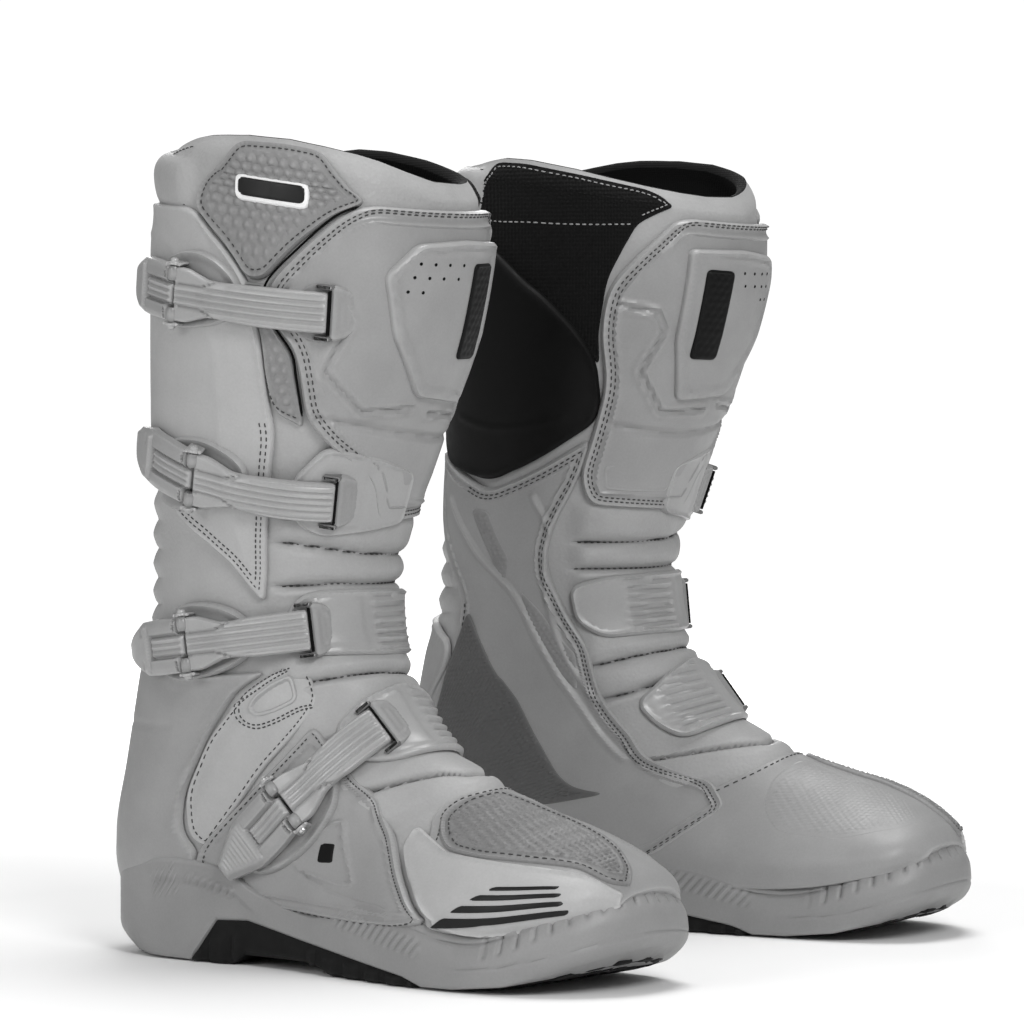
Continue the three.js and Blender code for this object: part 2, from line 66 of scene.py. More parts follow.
SECTIONS = np.array([
    (24, 387, 187, 360, 66, 0, 2.2, 0), (22, 362, 188, 337, 67, 0, 2.2, 0),
    (22, 312, 180, 300, 66, 0, 2.2, 0), (21, 267, 167, 258, 62, 0, 2.2, 0),
    (20, 227, 153, 219, 56, 0, 2.2, 0), (18, 190, 141, 188, 51, 0, 2.2, 0),
    (14, 156, 139, 162, 48, 0, 2.2, 0), (7, 122, 147, 141, 47, .05, 2.3, 0),
    (1, 88, 161, 124, 46, .15, 2.5, 0), (-2, 54, 176, 109, 45, .3, 3, 0),
    (8, 27, 191, 99, 44, .45, 3.6, 1), (58, 21, 207, 91, 43, .5, 4, 2),
    (113, 20, 226, 83, 44, .5, 4, 2), (163, 18, 247, 77, 48, .5, 4, 0),
    (205, 18, 267, 72, 51, .5, 4, -1), (245, 22, 285, 65, 48, .5, 3.6, 1),
    (278, 30, 298, 56, 38, .4, 3, 4), (298, 37, 304, 46, 18, .2, 2.4, 7),
], float)
CROWN = 2.2
# How far the visible skin lies inside that outline, in front and behind, to leave room for the plates:
# [station, front, back].
SLIM = np.array([(-1, 4, 5), (0, 4.5, 5), (1, 5, 4.5), (2, 5.5, 4.3), (3, 8, 4.3), (3.6, 9, 3.4), (4.2, 8, 1.2),
                 (4.6, 6.5, 0), (5.2, 4, 0), (6, 2, 0), (7, 2, 0), (8, 3, 0), (9, 4, 0), (10, 4, 0),
                 (11, 3.5, 0), (12, 3, 0), (13, 3, 0), (14, 3, 0), (16, 3.2, 0), (17, 2.5, 0)])
TOE = len(SECTIONS) - 1
ANKLE = np.array([85.0, 0.0, 110.0])


def section(station):
    """The section's eight numbers at each station, by a Catmull-Rom curve."""
    first = np.clip(np.floor(station), 0, TOE - 1).astype(int)
    t = (station - first)[..., None]
    a, b, c, d = (SECTIONS[np.clip(first + k, 0, TOE)] for k in (-1, 0, 1, 2))
    inside = b + .5 * t * (c - a + (2 * a - 5 * b + 4 * c - d) * t + (3 * b - a - 3 * c + d) * t * t)
    above = SECTIONS[0] + (SECTIONS[1] - SECTIONS[0]) * station[..., None]
    return np.where(station[..., None] < 0, above, inside)


def skin_point(angle, station, slim=True):
    angle, station = np.broadcast_arrays(np.asarray(angle, float), np.asarray(station, float))
    bx, bz, fx, fz, half, low, square, shift = np.moveaxis(section(station), -1, 0)
    if slim:
        depth = np.hypot(fx - bx, fz - bz)
        front = np.interp(station, SLIM[:, 0], SLIM[:, 1]) / depth
        back = np.interp(station, SLIM[:, 0], SLIM[:, 2]) / depth
        bx, bz, fx, fz = (bx + back * (fx - bx), bz + back * (fz - bz),
                          fx - front * (fx - bx), fz - front * (fz - bz))
        rolled = 1 - np.clip((station - collar_edge(angle)) * 25 / 11, 0, 1)
        half = half - 4.5 * rolled ** 2
        tuck = 4.5 * rolled ** 2 / depth
        bx, bz, fx, fz = (bx + tuck * (fx - bx), bz + tuck * (fz - bz),
                          fx - tuck * (fx - bx), fz - tuck * (fz - bz))
    turn = np.radians(angle)
    up, out = np.cos(turn), np.sin(turn)
    crown = CROWN - .4 * np.clip((station - 10.5) / 2.5, 0, 1) * slim
    power = 2 / np.where(up >= 0, crown, square)
    up = np.sign(up) * np.abs(up) ** power
    out = np.sign(out) * np.abs(out) ** power
    along = -low + np.where(up >= 0, 1 + low, 1 - low) * up
    return np.stack([(bx + fx) / 2 + along * (fx - bx) / 2, shift - half * out,
                     (bz + fz) / 2 + along * (fz - bz) / 2], -1)


def skin_normal(angle, station, slim=True):
    round_ = skin_point(angle + 1.5, station, slim) - skin_point(angle - 1.5, station, slim)
    down = skin_point(angle, station + .03, slim) - skin_point(angle, station - .03, slim)
    return unit(np.cross(round_, down))


def unit(v):
    return v / np.maximum(np.linalg.norm(v, axis=-1, keepdims=True), 1e-9)


def lifted(angle, station, lift, slim=True):
    angle, station = np.asarray(angle, float), np.asarray(station, float)
    normal = skin_normal(angle, station, slim)
    return skin_point(angle, station, slim) + normal * np.asarray(lift)[..., None]


# ---- Placing the two boots --------------------------------------------------------------------------

JOINTS = {joint["name"]: joint for joint in frame["joints"]}


def boot_axes(side):
    """The boot's origin, x axis and y axis in the row frame, from its ankle joint."""
    joint = JOINTS[f"{side}_ankle_flex"]
    axis = np.array(joint["axis"])
    x_axis = np.array([axis[1], -axis[0], 0])
    y_axis = axis if side == "right" else -axis
    origin = np.array(joint["pos_m"]) - MM * (ANKLE[0] * x_axis + ANKLE[2] * np.array([0, 0, 1]))
    return origin, x_axis, y_axis


def placed(points, side):
    origin, x_axis, y_axis = boot_axes(side)
    points = np.asarray(points, float)
    basis = np.stack([x_axis, y_axis, np.array([0, 0, 1.0])])
    return origin + MM * points @ basis


def local(point):
    """A row-frame point of the right boot, in the boot's own frame."""
    origin, x_axis, y_axis = boot_axes("right")
    away = (np.array(point) - origin) / MM
    return np.array([away @ x_axis, away @ y_axis, away[2]])


def local_direction(direction):
    _, x_axis, y_axis = boot_axes("right")
    direction = np.array(direction)
    return np.array([direction @ x_axis, direction @ y_axis, direction[2]])


def to_object(name, points, faces, materials, face_materials=None, sharp=42, flip=False):
    mesh = bpy.data.meshes.new(name)
    sizes = np.concatenate([np.full(len(f), f.shape[1]) for f in faces])
    loops = np.concatenate([(f[:, ::-1] if flip else f).ravel() for f in faces])
    mesh.vertices.add(len(points))
    mesh.vertices.foreach_set("co", np.asarray(points, np.float32).ravel())
    mesh.loops.add(len(loops))
    mesh.loops.foreach_set("vertex_index", loops.astype(np.int32))
    mesh.polygons.add(len(sizes))
    mesh.polygons.foreach_set("loop_start", np.concatenate([[0], np.cumsum(sizes)[:-1]]).astype(np.int32))
    for material in materials:
        mesh.materials.append(material)
    if face_materials is not None:
        mesh.polygons.foreach_set("material_index", np.asarray(face_materials, np.int32))
    mesh.update(calc_edges=True)
    mesh.validate()
    mesh.polygons.foreach_set("use_smooth", np.ones(len(mesh.polygons), bool))
    mesh.set_sharp_from_angle(angle=math.radians(sharp))
    obj = bpy.data.objects.new(name, mesh)
    bpy.context.scene.collection.objects.link(obj)
    return obj


def piece(name, shape, finish, rides, replaces=(), face_finish=None, sharp=42):
    """Adds a piece to both boots. `rides` is foot, shaft, strap_N, lever_N, or bend for leather that
    crosses the ankle. `finish` is a material name, or several with `face_finish` per face."""
    points, faces = shape
    names = [finish] if isinstance(finish, str) else finish
    for side in SIDES:
        obj = to_object(f"{side}_boot_{name}", placed(points, side), faces, [MATERIALS[n] for n in names],
                        face_finish, sharp, flip=side == "left")
        if rides == "bend":
            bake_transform(obj)
        else:
            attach(obj, f"{side}_{rides}")
        if replaces:
            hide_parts(*(f"{side}_{node}" for node in replaces))


# ---- Materials --------------------------------------------------------------------------------------

MATERIALS = {}


class Nodes:
    """A small helper for wiring a material's nodes."""

    def __init__(self, name):
        self.material = bpy.data.materials.new(name)
        self.material.use_nodes = True
        self.tree = self.material.node_tree
        self.shader = self.tree.nodes["Principled BSDF"]
        self.place = self.add("ShaderNodeTexCoord").outputs["Object"]

    def add(self, kind, inputs=(), **settings):
        node = self.tree.nodes.new(kind)
        for key, value in settings.items():
            setattr(node, key, value)
        for key, value in dict(inputs).items():
            self.set(node.inputs[key], value)
        return node

    def set(self, socket, value):
        if isinstance(value, bpy.types.NodeSocket):
            self.tree.links.new(value, socket)
        else:
            socket.default_value = value

    def noise(self, scale, detail=3, rough=.55):
        inputs = {"Vector": self.place, "Scale": scale, "Detail": detail, "Roughness": rough}
        return self.add("ShaderNodeTexNoise", inputs).outputs["Fac"]

    def cells(self, scale, feature="F1"):
        node = self.add("ShaderNodeTexVoronoi", {"Vector": self.place, "Scale": scale}, feature=feature)
        return node.outputs["Distance"]

    def ramp(self, value, low, high, to_low=0.0, to_high=1.0):
        inputs = {"Value": value, "From Min": low, "From Max": high, "To Min": to_low, "To Max": to_high}
        return self.add("ShaderNodeMapRange", inputs).outputs["Result"]

    def math(self, operation, a, b=0.0):
        return self.add("ShaderNodeMath", {0: a, 1: b}, operation=operation).outputs[0]

    def bump(self, height, distance, strength=1.0, normal=None):
        inputs = {"Height": height, "Distance": distance, "Strength": strength}
        if normal is not None:
            inputs["Normal"] = normal
        return self.add("ShaderNodeBump", inputs).outputs["Normal"]


def grey(value):
    return (value, value, value, 1)


def finish(name, tone, rough, mottle=.06, wear=.10, coat=0.0, sheen=0.0, metal=0.0, shine=.5,
           relief=()):
    """A grey surface with soft mottling, lighter worn edges, painted shade that darkens its hollows and creases, uneven
    gloss and layers of fine relief.
    `relief` is (pattern, scale, depth in mm): grain is leather pebble, noise is fine texture, weave is
    crossed threads."""
    nodes = Nodes(name)
    cloudy = nodes.ramp(nodes.noise(38, 4), .3, .7, tone * (1 - mottle), tone * (1 + mottle))
    speck = nodes.ramp(nodes.noise(900, 2), .25, .75, 1 - mottle * .6, 1 + mottle * .6)
    value = nodes.math("MULTIPLY", cloudy, speck)
    edges = nodes.add("ShaderNodeNewGeometry").outputs["Pointiness"]
    worn = nodes.ramp(edges, .515, .60, 0.0, wear)
    # Painted shade: the colour darkens by up to 45% where the surface is hollow or creased (low pointiness), standing
    # in for the shade that falls there.
    crease_shade = nodes.ramp(edges, .485, .42, 0.0, .45)
    value = nodes.math("MULTIPLY", nodes.math("ADD", value, worn), nodes.math("SUBTRACT", 1.0, crease_shade))
    nodes.set(nodes.shader.inputs["Base Color"],
              nodes.add("ShaderNodeCombineColor", {0: value, 1: value, 2: value}).outputs[0])
    gloss = nodes.ramp(nodes.noise(120, 3), .3, .7, rough - .05, rough + .07)
    nodes.set(nodes.shader.inputs["Roughness"], gloss)
    nodes.set(nodes.shader.inputs["Metallic"], metal)
    nodes.set(nodes.shader.inputs["Specular IOR Level"], shine)
    nodes.set(nodes.shader.inputs["Coat Weight"], coat)
    nodes.set(nodes.shader.inputs["Coat Roughness"], .25)
    nodes.set(nodes.shader.inputs["Sheen Weight"], sheen)
    normal = None
    for pattern, scale, depth in relief:
        if pattern == "grain":
            height = nodes.ramp(nodes.cells(scale, "SMOOTH_F1"), .1, .75)
        elif pattern == "weave":
            height = weave(nodes, scale)
        else:
            height = nodes.noise(scale, 4, .6)
        normal = nodes.bump(height, depth * MM, 1.0, normal)
    if normal is not None:
        nodes.set(nodes.shader.inputs["Normal"], normal)
    MATERIALS[name] = nodes.material


def weave(nodes, scale):
    """Crossed threads: the product of two sets of waves at right angles, on any side of the boot."""
    parts = nodes.add("ShaderNodeSeparateXYZ", {0: nodes.place}).outputs
    across = nodes.math("ADD", parts[0], parts[1])
    one = nodes.math("SINE", nodes.math("MULTIPLY", nodes.math("ADD", across, parts[2]), scale))
    two = nodes.math("SINE", nodes.math("MULTIPLY", nodes.math("SUBTRACT", across, parts[2]), scale))
    return nodes.ramp(nodes.math("MULTIPLY", one, two), -1, 1)


def make_materials():
    finish("leather", .335, .50, relief=[("grain", 620, .10), ("noise", 1500, .04)], sheen=.05)
    finish("light_leather", .37, .46, relief=[("grain", 700, .06), ("noise", 1500, .03)])
    finish("plate", .275, .38, coat=.10, relief=[("noise", 700, .035)])
    finish("shell", .235, .48, relief=[("noise", 900, .05)])
    finish("moulded", .265, .43, relief=[("noise", 800, .05)])
    finish("matte", .21, .58, relief=[("noise", 1100, .09)])
    finish("buckle", .285, .36, coat=.18, relief=[("noise", 600, .03)])
    finish("strap", .315, .34, coat=.22, relief=[("noise", 500, .03)])
    finish("grip_leather", .165, .5, relief=[("grain", 900, .12), ("noise", 1500, .05)])
    finish("dark_grey", .10, .6, wear=.05, shine=.3, relief=[("noise", 1200, .08)])
    finish("rubber", .007, .62, wear=.008, shine=.15, relief=[("noise", 900, .06)])
    finish("smooth_rubber", .006, .42, wear=.004, shine=.1, relief=[("noise", 400, .02)])
    finish("black_mesh", .004, .8, wear=.008, sheen=.03, shine=.15, relief=[("weave", 1500, .45), ("noise", 1600, .05)])
    finish("lining", .005, .9, wear=.004, sheen=.04, shine=.12, relief=[("weave", 2600, .2), ("noise", 1400, .08)])
    # Flat near-black. It is painted shade where it colours the side gap's cord and the keepers' slot blocks. The shin
    # badge's dots use it too.
    finish("recess", .003, .8, wear=0, shine=.1)
    finish("dark_thread", .075, .7, wear=.03, relief=[("weave", 6000, .1)])
    finish("pale_thread", .60, .6, wear=.05, relief=[("weave", 6000, .1)])
    finish("emblem", .006, .42, wear=.006, shine=.25, relief=[("noise", 900, .02)])
    finish("emblem_edge", .78, .5, wear=.0, relief=[("noise", 900, .02)])
    finish("steel", .55, .28, metal=1.0, relief=[("noise", 500, .02)])


# ---- Shapes -------------------------------------------------------------------------------------------

def smoothstep(low, high, value):
    t = np.clip((value - low) / (high - low), 0, 1)
    return t * t * (3 - 2 * t)


def hump(value, middle, half):
    """1 at the middle, falling smoothly to 0 at `half` to each side."""
    return smoothstep(half, 0, np.abs(value - middle))


def spline(points, closed=True, parts=10):
    points = np.asarray(points, float)
    n = len(points)
    if closed:
        a, b, c, d = (np.roll(points, k, 0) for k in (1, 0, -1, -2))
    else:
        padded = np.vstack([points[:1], points, points[-1:]])
        a, b, c, d = padded[:n - 1], padded[1:n], padded[2:n + 1], np.vstack([padded[3:], padded[-1:]])[:n - 1]
    t = (np.arange(parts) / parts)[None, :, None]
    a, b, c, d = (p[:, None] for p in (a, b, c, d))
    curve = b + .5 * t * (c - a + (2 * a - 5 * b + 4 * c - d) * t + (3 * b - a - 3 * c + d) * t * t)
    curve = curve.reshape(-1, points.shape[1])
    return curve if closed else np.vstack([curve, points[-1:]])


def rounded(points, radius):
    """A closed outline whose corners are replaced by short curves."""
    result = []
    points = np.asarray(points, float)
    for last, corner, following in zip(np.roll(points, 1, 0), points, np.roll(points, -1, 0)):
        back, forward = last - corner, following - corner
        cut = min(radius, .45 * np.linalg.norm(back), .45 * np.linalg.norm(forward))
        start, end = corner + cut * unit(back), corner + cut * unit(forward)
        for t in np.linspace(0, 1, 6):
            result.append((1 - t) ** 2 * start + 2 * t * (1 - t) * corner + t * t * end)
    return np.array(result)


def resampled(points, step, closed=True):
    points = np.asarray(points, float)
    if closed:
        points = np.vstack([points, points[:1]])
    lengths = np.linalg.norm(np.diff(points, axis=0), axis=1)
    keep = np.concatenate([[True], lengths > 1e-6])
    points = points[keep]
    along = np.concatenate([[0], np.cumsum(lengths[lengths > 1e-6])])
    count = max(3, int(round(along[-1] / step)))
    places = np.linspace(0, along[-1], count + 1)
    if closed:
        places = places[:-1]
    return np.stack([np.interp(places, along, points[:, k]) for k in range(points.shape[1])], -1)


def distance_to(points, line, closed=True):
    """The distance of each 2-D point from a line through `line`, worked out in blocks."""
    a = np.asarray(line, float)
    b = np.roll(a, -1, 0) if closed else a[1:]
    a = a if closed else a[:-1]
    run = b - a
    length = np.maximum((run ** 2).sum(1), 1e-12)
    result = np.empty(len(points))
    for i in range(0, len(points), 2000):
        away = points[i:i + 2000, None] - a[None]
        t = np.clip((away * run).sum(2) / length, 0, 1)
        result[i:i + 2000] = np.sqrt(((away - t[..., None] * run) ** 2).sum(2).min(1))
    return result


def inside(points, ring):
    x, y = points[:, 0][:, None], points[:, 1][:, None]
    a, b = ring, np.roll(ring, -1, 0)
    crosses = (a[:, 1] > y) != (b[:, 1] > y)
    slope = np.where(b[:, 1] == a[:, 1], 1e-12, b[:, 1] - a[:, 1])
    at = a[:, 0] + (y - a[:, 1]) * (b[:, 0] - a[:, 0]) / slope
    return (crosses & (x < at)).sum(1) % 2 == 1


def inset(ring, by):
    """The ring's points moved inwards, without those that would cross over."""
    tangent = unit(np.roll(ring, -1, 0) - np.roll(ring, 1, 0))
    normal = np.stack([-tangent[:, 1], tangent[:, 0]], -1)
    area = (ring[:, 0] * np.roll(ring[:, 1], -1) - np.roll(ring[:, 0], -1) * ring[:, 1]).sum()
    moved = ring + by * normal * np.sign(area)
    good = distance_to(moved, ring) > by * .94
    return moved, good & inside(moved, ring)


def grid_inside(ring, step, margin):
    low, high = ring.min(0), ring.max(0)
    rows = np.arange(low[1], high[1], step * .866)
    points = []
    for i, y in enumerate(rows):
        x = np.arange(low[0] + (i % 2) * step / 2, high[0], step)
        points.append(np.stack([x, np.full_like(x, y)], -1))
    points = np.vstack(points)
    points = points[inside(points, ring)]
    return points[distance_to(points, ring) > margin]


def triangulated(ring, within):
    """Triangles over the area of `ring`, through the points `within`. Returns the points, the
    triangles and where the ring's own points went."""
    count = len(ring)
    if ((ring[:, 0] * np.roll(ring[:, 1], -1) - np.roll(ring[:, 0], -1) * ring[:, 1]).sum()) < 0:
        raise ValueError("an outline runs the wrong way")
    everything = [Vector(p) for p in np.vstack([ring, within])]
    points, _, faces, origins, _, _ = geometry.delaunay_2d_cdt(
        everything, [], [list(range(count))], 1, 1e-5)
    where = np.zeros(count, int)
    for i, sources in enumerate(origins):
        for source in sources:
            if source < count:
                where[source] = i
    return np.array([tuple(p) for p in points]), np.array(faces, int), where


def anticlockwise(ring):
    area = (ring[:, 0] * np.roll(ring[:, 1], -1) - np.roll(ring[:, 0], -1) * ring[:, 1]).sum()
    return ring if area > 0 else ring[::-1]


class Skin:
    """A flat map of part of the boot's skin, in millimetres: x follows the angle, y the station."""

    def __init__(self, outline):
        outline = np.asarray(outline, float)
        places = np.vstack([outline, (outline + outline.mean(0)) / 2])
        angle, station = places[:, 0], np.clip(places[:, 1], -1, TOE - .1)
        across = skin_point(angle + 1, station) - skin_point(angle - 1, station)
        down = skin_point(angle, station + .05) - skin_point(angle, station - .05)
        self.scale = np.array([np.linalg.norm(across, axis=1).mean() / 2,
                               np.linalg.norm(down, axis=1).mean() / .1])

    def flat(self, points):
        return np.asarray(points, float) * self.scale

    def at(self, flat, lift):
        return lifted(flat[:, 0] / self.scale[0], flat[:, 1] / self.scale[1], lift)


class Ribbon:
    """A flat map of a band that runs along `centre`: x is the way along it and y across it."""

    def __init__(self, centre, normal, across):
        self.along = np.concatenate([[0], np.cumsum(np.linalg.norm(np.diff(centre, axis=0), axis=1))])
        self.centre, self.normal, self.across = centre, normal, np.asarray(across)

    def flat(self, points):
        return np.asarray(points, float)

    def at(self, flat, lift):
        x = np.clip(flat[:, 0], 0, self.along[-1])
        centre = np.stack([np.interp(x, self.along, self.centre[:, k]) for k in range(3)], -1)
        normal = unit(np.stack([np.interp(x, self.along, self.normal[:, k]) for k in range(3)], -1))
        tangent = unit(np.cross(self.across, normal))
        centre = centre + tangent * (flat[:, 0] - x)[:, None]
        return centre + flat[:, 1:] * self.across + normal * np.asarray(lift)[..., None]


class Plate:
    """A moulded plate on a surface: an outline, a rounded edge and a relief on its top. `relief` takes
    the flat points and their distance from the edge, and gives a height in millimetres."""

    def __init__(self, outline, base, thick, edge=1.2, step=2.2, corner=4, curve=False, relief=None,
                 lip=.35, surface=None, fine=1.6):
        self.surface = surface or Skin(outline)
        self.base, self.thick, self.edge, self.lip, self.relief = base, thick, edge, lip, relief
        ring = self.surface.flat(outline)
        ring = spline(ring) if curve else rounded(ring, corner)
        self.ring = anticlockwise(resampled(ring, min(step, fine)))
        self.rim = self.surface.at(self.ring, np.full(len(self.ring), float(base)))
        rows = []
        for by in (edge * .3, edge * .9, edge * 1.8):
            moved, good = inset(self.ring, by)
            rows.append(moved[good])
        within = np.vstack(rows + [grid_inside(self.ring, step, edge * 1.8 + step * .45)])
        top, top_faces, top_ring = triangulated(self.ring, within)
        coarse = max(4 * step, 7)
        under, under_faces, under_ring = triangulated(
            self.ring, grid_inside(self.ring, coarse, coarse * .5))
        height = self.height(top)
        height[top_ring] = base + thick * lip
        points = np.vstack([self.surface.at(top, height),
                            self.surface.at(under, np.full(len(under), float(base)))])
        low = under_ring + len(top)
        walls = np.stack([top_ring, low, np.roll(low, -1), np.roll(top_ring, -1)], -1)
        self.shape = points, [top_faces, under_faces[:, ::-1] + len(top), walls]

    def away(self, flat):
        """How far inside the edge each flat point is, measured on the boot."""
        return distance_to(self.surface.at(flat, np.full(len(flat), float(self.base))), self.rim)

    def height(self, flat):
        away = self.away(flat)
        rise = np.sqrt(1 - (1 - np.clip(away / self.edge, 0, 1)) ** 2)
        height = self.base + self.thick * (self.lip + (1 - self.lip) * rise)
        if self.relief is not None:
            height = height + self.relief(self, flat, away) * smoothstep(0, self.edge, away)
        return height

    def sew(self, by, thread, rides, where=None, **more):
        """Stitches `by` inside the edge, only where `where(flat)` is true if it is given."""
        moved, good = inset(self.ring, by)
        if where is not None:
            good = good & where(moved)
        for run in runs_of(good):
            if len(run) > 3:
                line = moved[run]
                stitch(line, thread, rides, self.surface, self.height(line), **more)

    def sew_line(self, points, thread, rides, **more):
        line = resampled(spline(self.surface.flat(points), closed=False), 1.5, closed=False)
        line = line[inside(line, self.ring)]
        stitch(line, thread, rides, self.surface, self.height(line), **more)

    def far(self, flat, points, closed=False, curve=True):
        """The distance on the boot of each flat point from a line given in the plate's own terms."""
        line = self.surface.flat(points)
        if curve:
            line = spline(line, closed)
        line = resampled(line, 2, closed)
        base = float(self.base)
        return distance_to(self.surface.at(flat, np.full(len(flat), base)),
                           self.surface.at(line, np.full(len(line), base)), closed)


def runs_of(good):
    """The index runs round a ring where `good` holds."""
    count = len(good)
    if good.all():
        return [np.append(np.arange(count), 0)]
    start = int(np.argmin(good))
    order = (np.arange(count) + start) % count
    marks = np.diff(np.concatenate([[0], good[order].astype(int), [0]]))
    return [order[a:b] for a, b in zip(np.where(marks == 1)[0], np.where(marks == -1)[0])]


def merged(shapes):
    points, faces, start = [], [], 0
    for shape in shapes:
        points.append(shape[0])
        faces += [f + start for f in shape[1]]
        start += len(shape[0])
    return np.vstack(points), faces


def swept(centre, normal, side, profiles):
    """A closed bar along `centre`. `profiles` is, for each place, the section's [side, up] points."""
    count, around = profiles.shape[:2]
    rings = (centre[:, None] + profiles[..., :1] * side[:, None] + profiles[..., 1:] * normal[:, None])
    points = rings.reshape(-1, 3)
    i, j = np.meshgrid(np.arange(count - 1), np.arange(around), indexing="ij")
    k = (j + 1) % around
    quads = np.stack([i * around + j, i * around + k, (i + 1) * around + k, (i + 1) * around + j], -1)
    ends = np.stack([rings[0].mean(0), rings[-1].mean(0)])
    j = np.arange(around)
    k = (j + 1) % around
    first = np.stack([np.full(around, len(points)), k, j], -1)
    last = np.stack([np.full(around, len(points) + 1), j + (count - 1) * around,
                     k + (count - 1) * around], -1)
    return np.vstack([points, ends]), [quads.reshape(-1, 4), np.vstack([first, last])]


def line_frame(centre, up):
    tangent = unit(np.gradient(centre, axis=0))
    side = unit(np.cross(tangent, up))
    return side, unit(np.cross(side, tangent))


def cord(centre, up, radius, sides=8, flatten=1.0):
    """A round cord with rounded ends, for piping and thread."""
    side, normal = line_frame(centre, up)
    turn = np.linspace(0, 2 * math.pi, sides, endpoint=False)
    circle = np.stack([np.cos(turn), flatten * np.sin(turn)], -1)
    scale = np.full(len(centre), radius)
    scale[[0, -1]] *= .45
    return swept(centre, normal, side, scale[:, None, None] * circle[None])


def block(middle, axes, half, bevel=.8):
    """A box with bevelled edges. `axes` are its three unit directions."""
    signs = np.array([(-1, -1), (1, -1), (1, 1), (-1, 1)], float)
    x, y, z = half

    def ring(shrink, height):
        corners = []
        for sx, sy in signs:
            one, two = (sx * (x - shrink), sy * (y - shrink - bevel)), (sx * (x - shrink - bevel), sy * (y - shrink))
            corners += [one, two] if sx * sy > 0 else [two, one]
        return np.array([(a, b, height) for a, b in corners])
    rings = np.stack([ring(bevel, -z), ring(0, -z + bevel), ring(0, z - bevel), ring(bevel, z)])
    count, around = rings.shape[:2]
    flat = rings.reshape(-1, 3)
    points = middle + flat @ np.asarray(axes)
    i, j = np.meshgrid(np.arange(count - 1), np.arange(around), indexing="ij")
    k = (j + 1) % around
    quads = np.stack([i * around + j, i * around + k, (i + 1) * around + k, (i + 1) * around + j], -1)
    ends = np.array([range(around)])
    return points, [quads.reshape(-1, 4), ends[:, ::-1], ends + 3 * around]


# ---- Stitching ------------------------------------------------------------------------------------------

STITCHES = {}


def stitch(line, thread, rides, surface, lift, length=2.0, gap=1.3, radius=.34):
    """Sews along a flat line on a surface: one short cord for each stitch."""
    lift = np.broadcast_to(lift, len(line))
    along = np.concatenate([[0], np.cumsum(np.linalg.norm(np.diff(line, axis=0), axis=1))])
    for i in range(int(along[-1] / (length + gap))):
        places = (i + .2) * (length + gap) + length * np.array([0, .14, .5, .86, 1])
        flat = np.stack([np.interp(places, along, line[:, k]) for k in (0, 1)], -1)
        sunk = np.array([-.6, .25, .5, .25, -.6]) * radius
        height = np.interp(places, along, lift) + sunk
        centre = surface.at(flat, height)
        up = unit(surface.at(flat, height + 1) - centre)
        STITCHES.setdefault((rides, thread), []).append(cord(centre, up, radius, sides=6))


def sew_all():
    for (rides, thread), shapes in sorted(STITCHES.items()):
        piece(f"stitching_{rides}_{thread}", merged(shapes), thread, rides, sharp=80)


def sew_skin(points, thread, rides, lift=0.0, closed=False, **more):
    """Stitches along a curve on the bare skin."""
    surface = Skin(points)
    line = resampled(spline(surface.flat(points), closed), 1.5, closed)
    stitch(line, thread, rides, surface, lift, **more)


def piping(name, points, radius, finish_name, rides, lift=0.0, closed=False, flatten=1.0):
    """A cord laid on the skin."""
    surface = Skin(points)
    line = resampled(spline(surface.flat(points), closed), 2.0, closed)
    if closed:
        line = np.vstack([line, line[:1]])
    height = np.full(len(line), float(lift))
    centre = surface.at(line, height)
    up = unit(surface.at(line, height + 1) - centre)
    piece(name, cord(centre, up, radius, 10, flatten), finish_name, rides)


# ---- Relief patterns ---------------------------------------------------------------------------------

def honeycomb(flat, pitch, wall):
    """1 inside the cells of a honeycomb and 0 on its walls."""
    x, y = flat[:, 0] / pitch, flat[:, 1] / pitch
    a = np.stack([(x - .5) % 1 - .5, (y - .866) % 1.732 - .866], -1)
    b = np.stack([x % 1 - .5, y % 1.732 - .866], -1)
    near = np.where(((a ** 2).sum(1) < (b ** 2).sum(1))[:, None], a, b)
    near = np.abs(near)
    to_wall = .5 - np.maximum(near[:, 0], near[:, 0] * .5 + near[:, 1] * .866)
    return smoothstep(wall * .3, wall, to_wall * pitch)


def bumps(flat, pitch, radius, stretch=1.0, slant=0.0):
    """Staggered rows of small round bumps, 1 at each middle."""
    y = flat[:, 1] / (pitch * stretch * .866)
    row = np.round(y)
    x = flat[:, 0] / pitch + slant * flat[:, 1] / pitch + .5 * (row % 2)
    away = np.hypot((x - np.round(x)) * pitch, (y - row) * pitch * .866)
    return smoothstep(radius, 0, away)


def waves(value, pitch, sharp=1.0):
    """Ridges at every `pitch`, 1 at their crests and 0 between."""
    return (.5 + .5 * np.cos(2 * math.pi * value / pitch)) ** sharp


def double_border(away, first=2.2, second=5.6, height=.7, half=.9):
    return height * (hump(away, first, half) + hump(away, second, half))


# ---- The upper ------------------------------------------------------------------------------------------

# The leather over the instep and behind the ankle is gathered into padded ribs between these seams,
# each [angle, station] from the outer edge to the inner edge.
RIB_SEAMS = [
    [(50, 4.62), (32, 4.68), (8, 4.78), (-12, 4.82), (-60, 4.85)],
    [(50, 5.32), (22, 5.28), (-13, 5.30), (-60, 5.3)],
    [(50, 6.2), (20, 6.2), (-20, 6.25), (-60, 6.2)],
    [(46, 7.2), (30, 7.15), (9, 7.12), (-6, 7.15), (-30, 7.2), (-52, 7.3)],
    [(46, 8.6), (20, 8.3), (-3, 8.0), (-24, 8.0), (-50, 8.1)],
    [(42, 10.2), (23, 10.4), (16, 10.5), (7, 10.8), (-8, 10.9), (-30, 10.4), (-46, 10.0)],
]
RIB_DEPTH = 6.0
REAR_RIBS = [4.45, 4.85, 5.25, 5.65, 6.05]


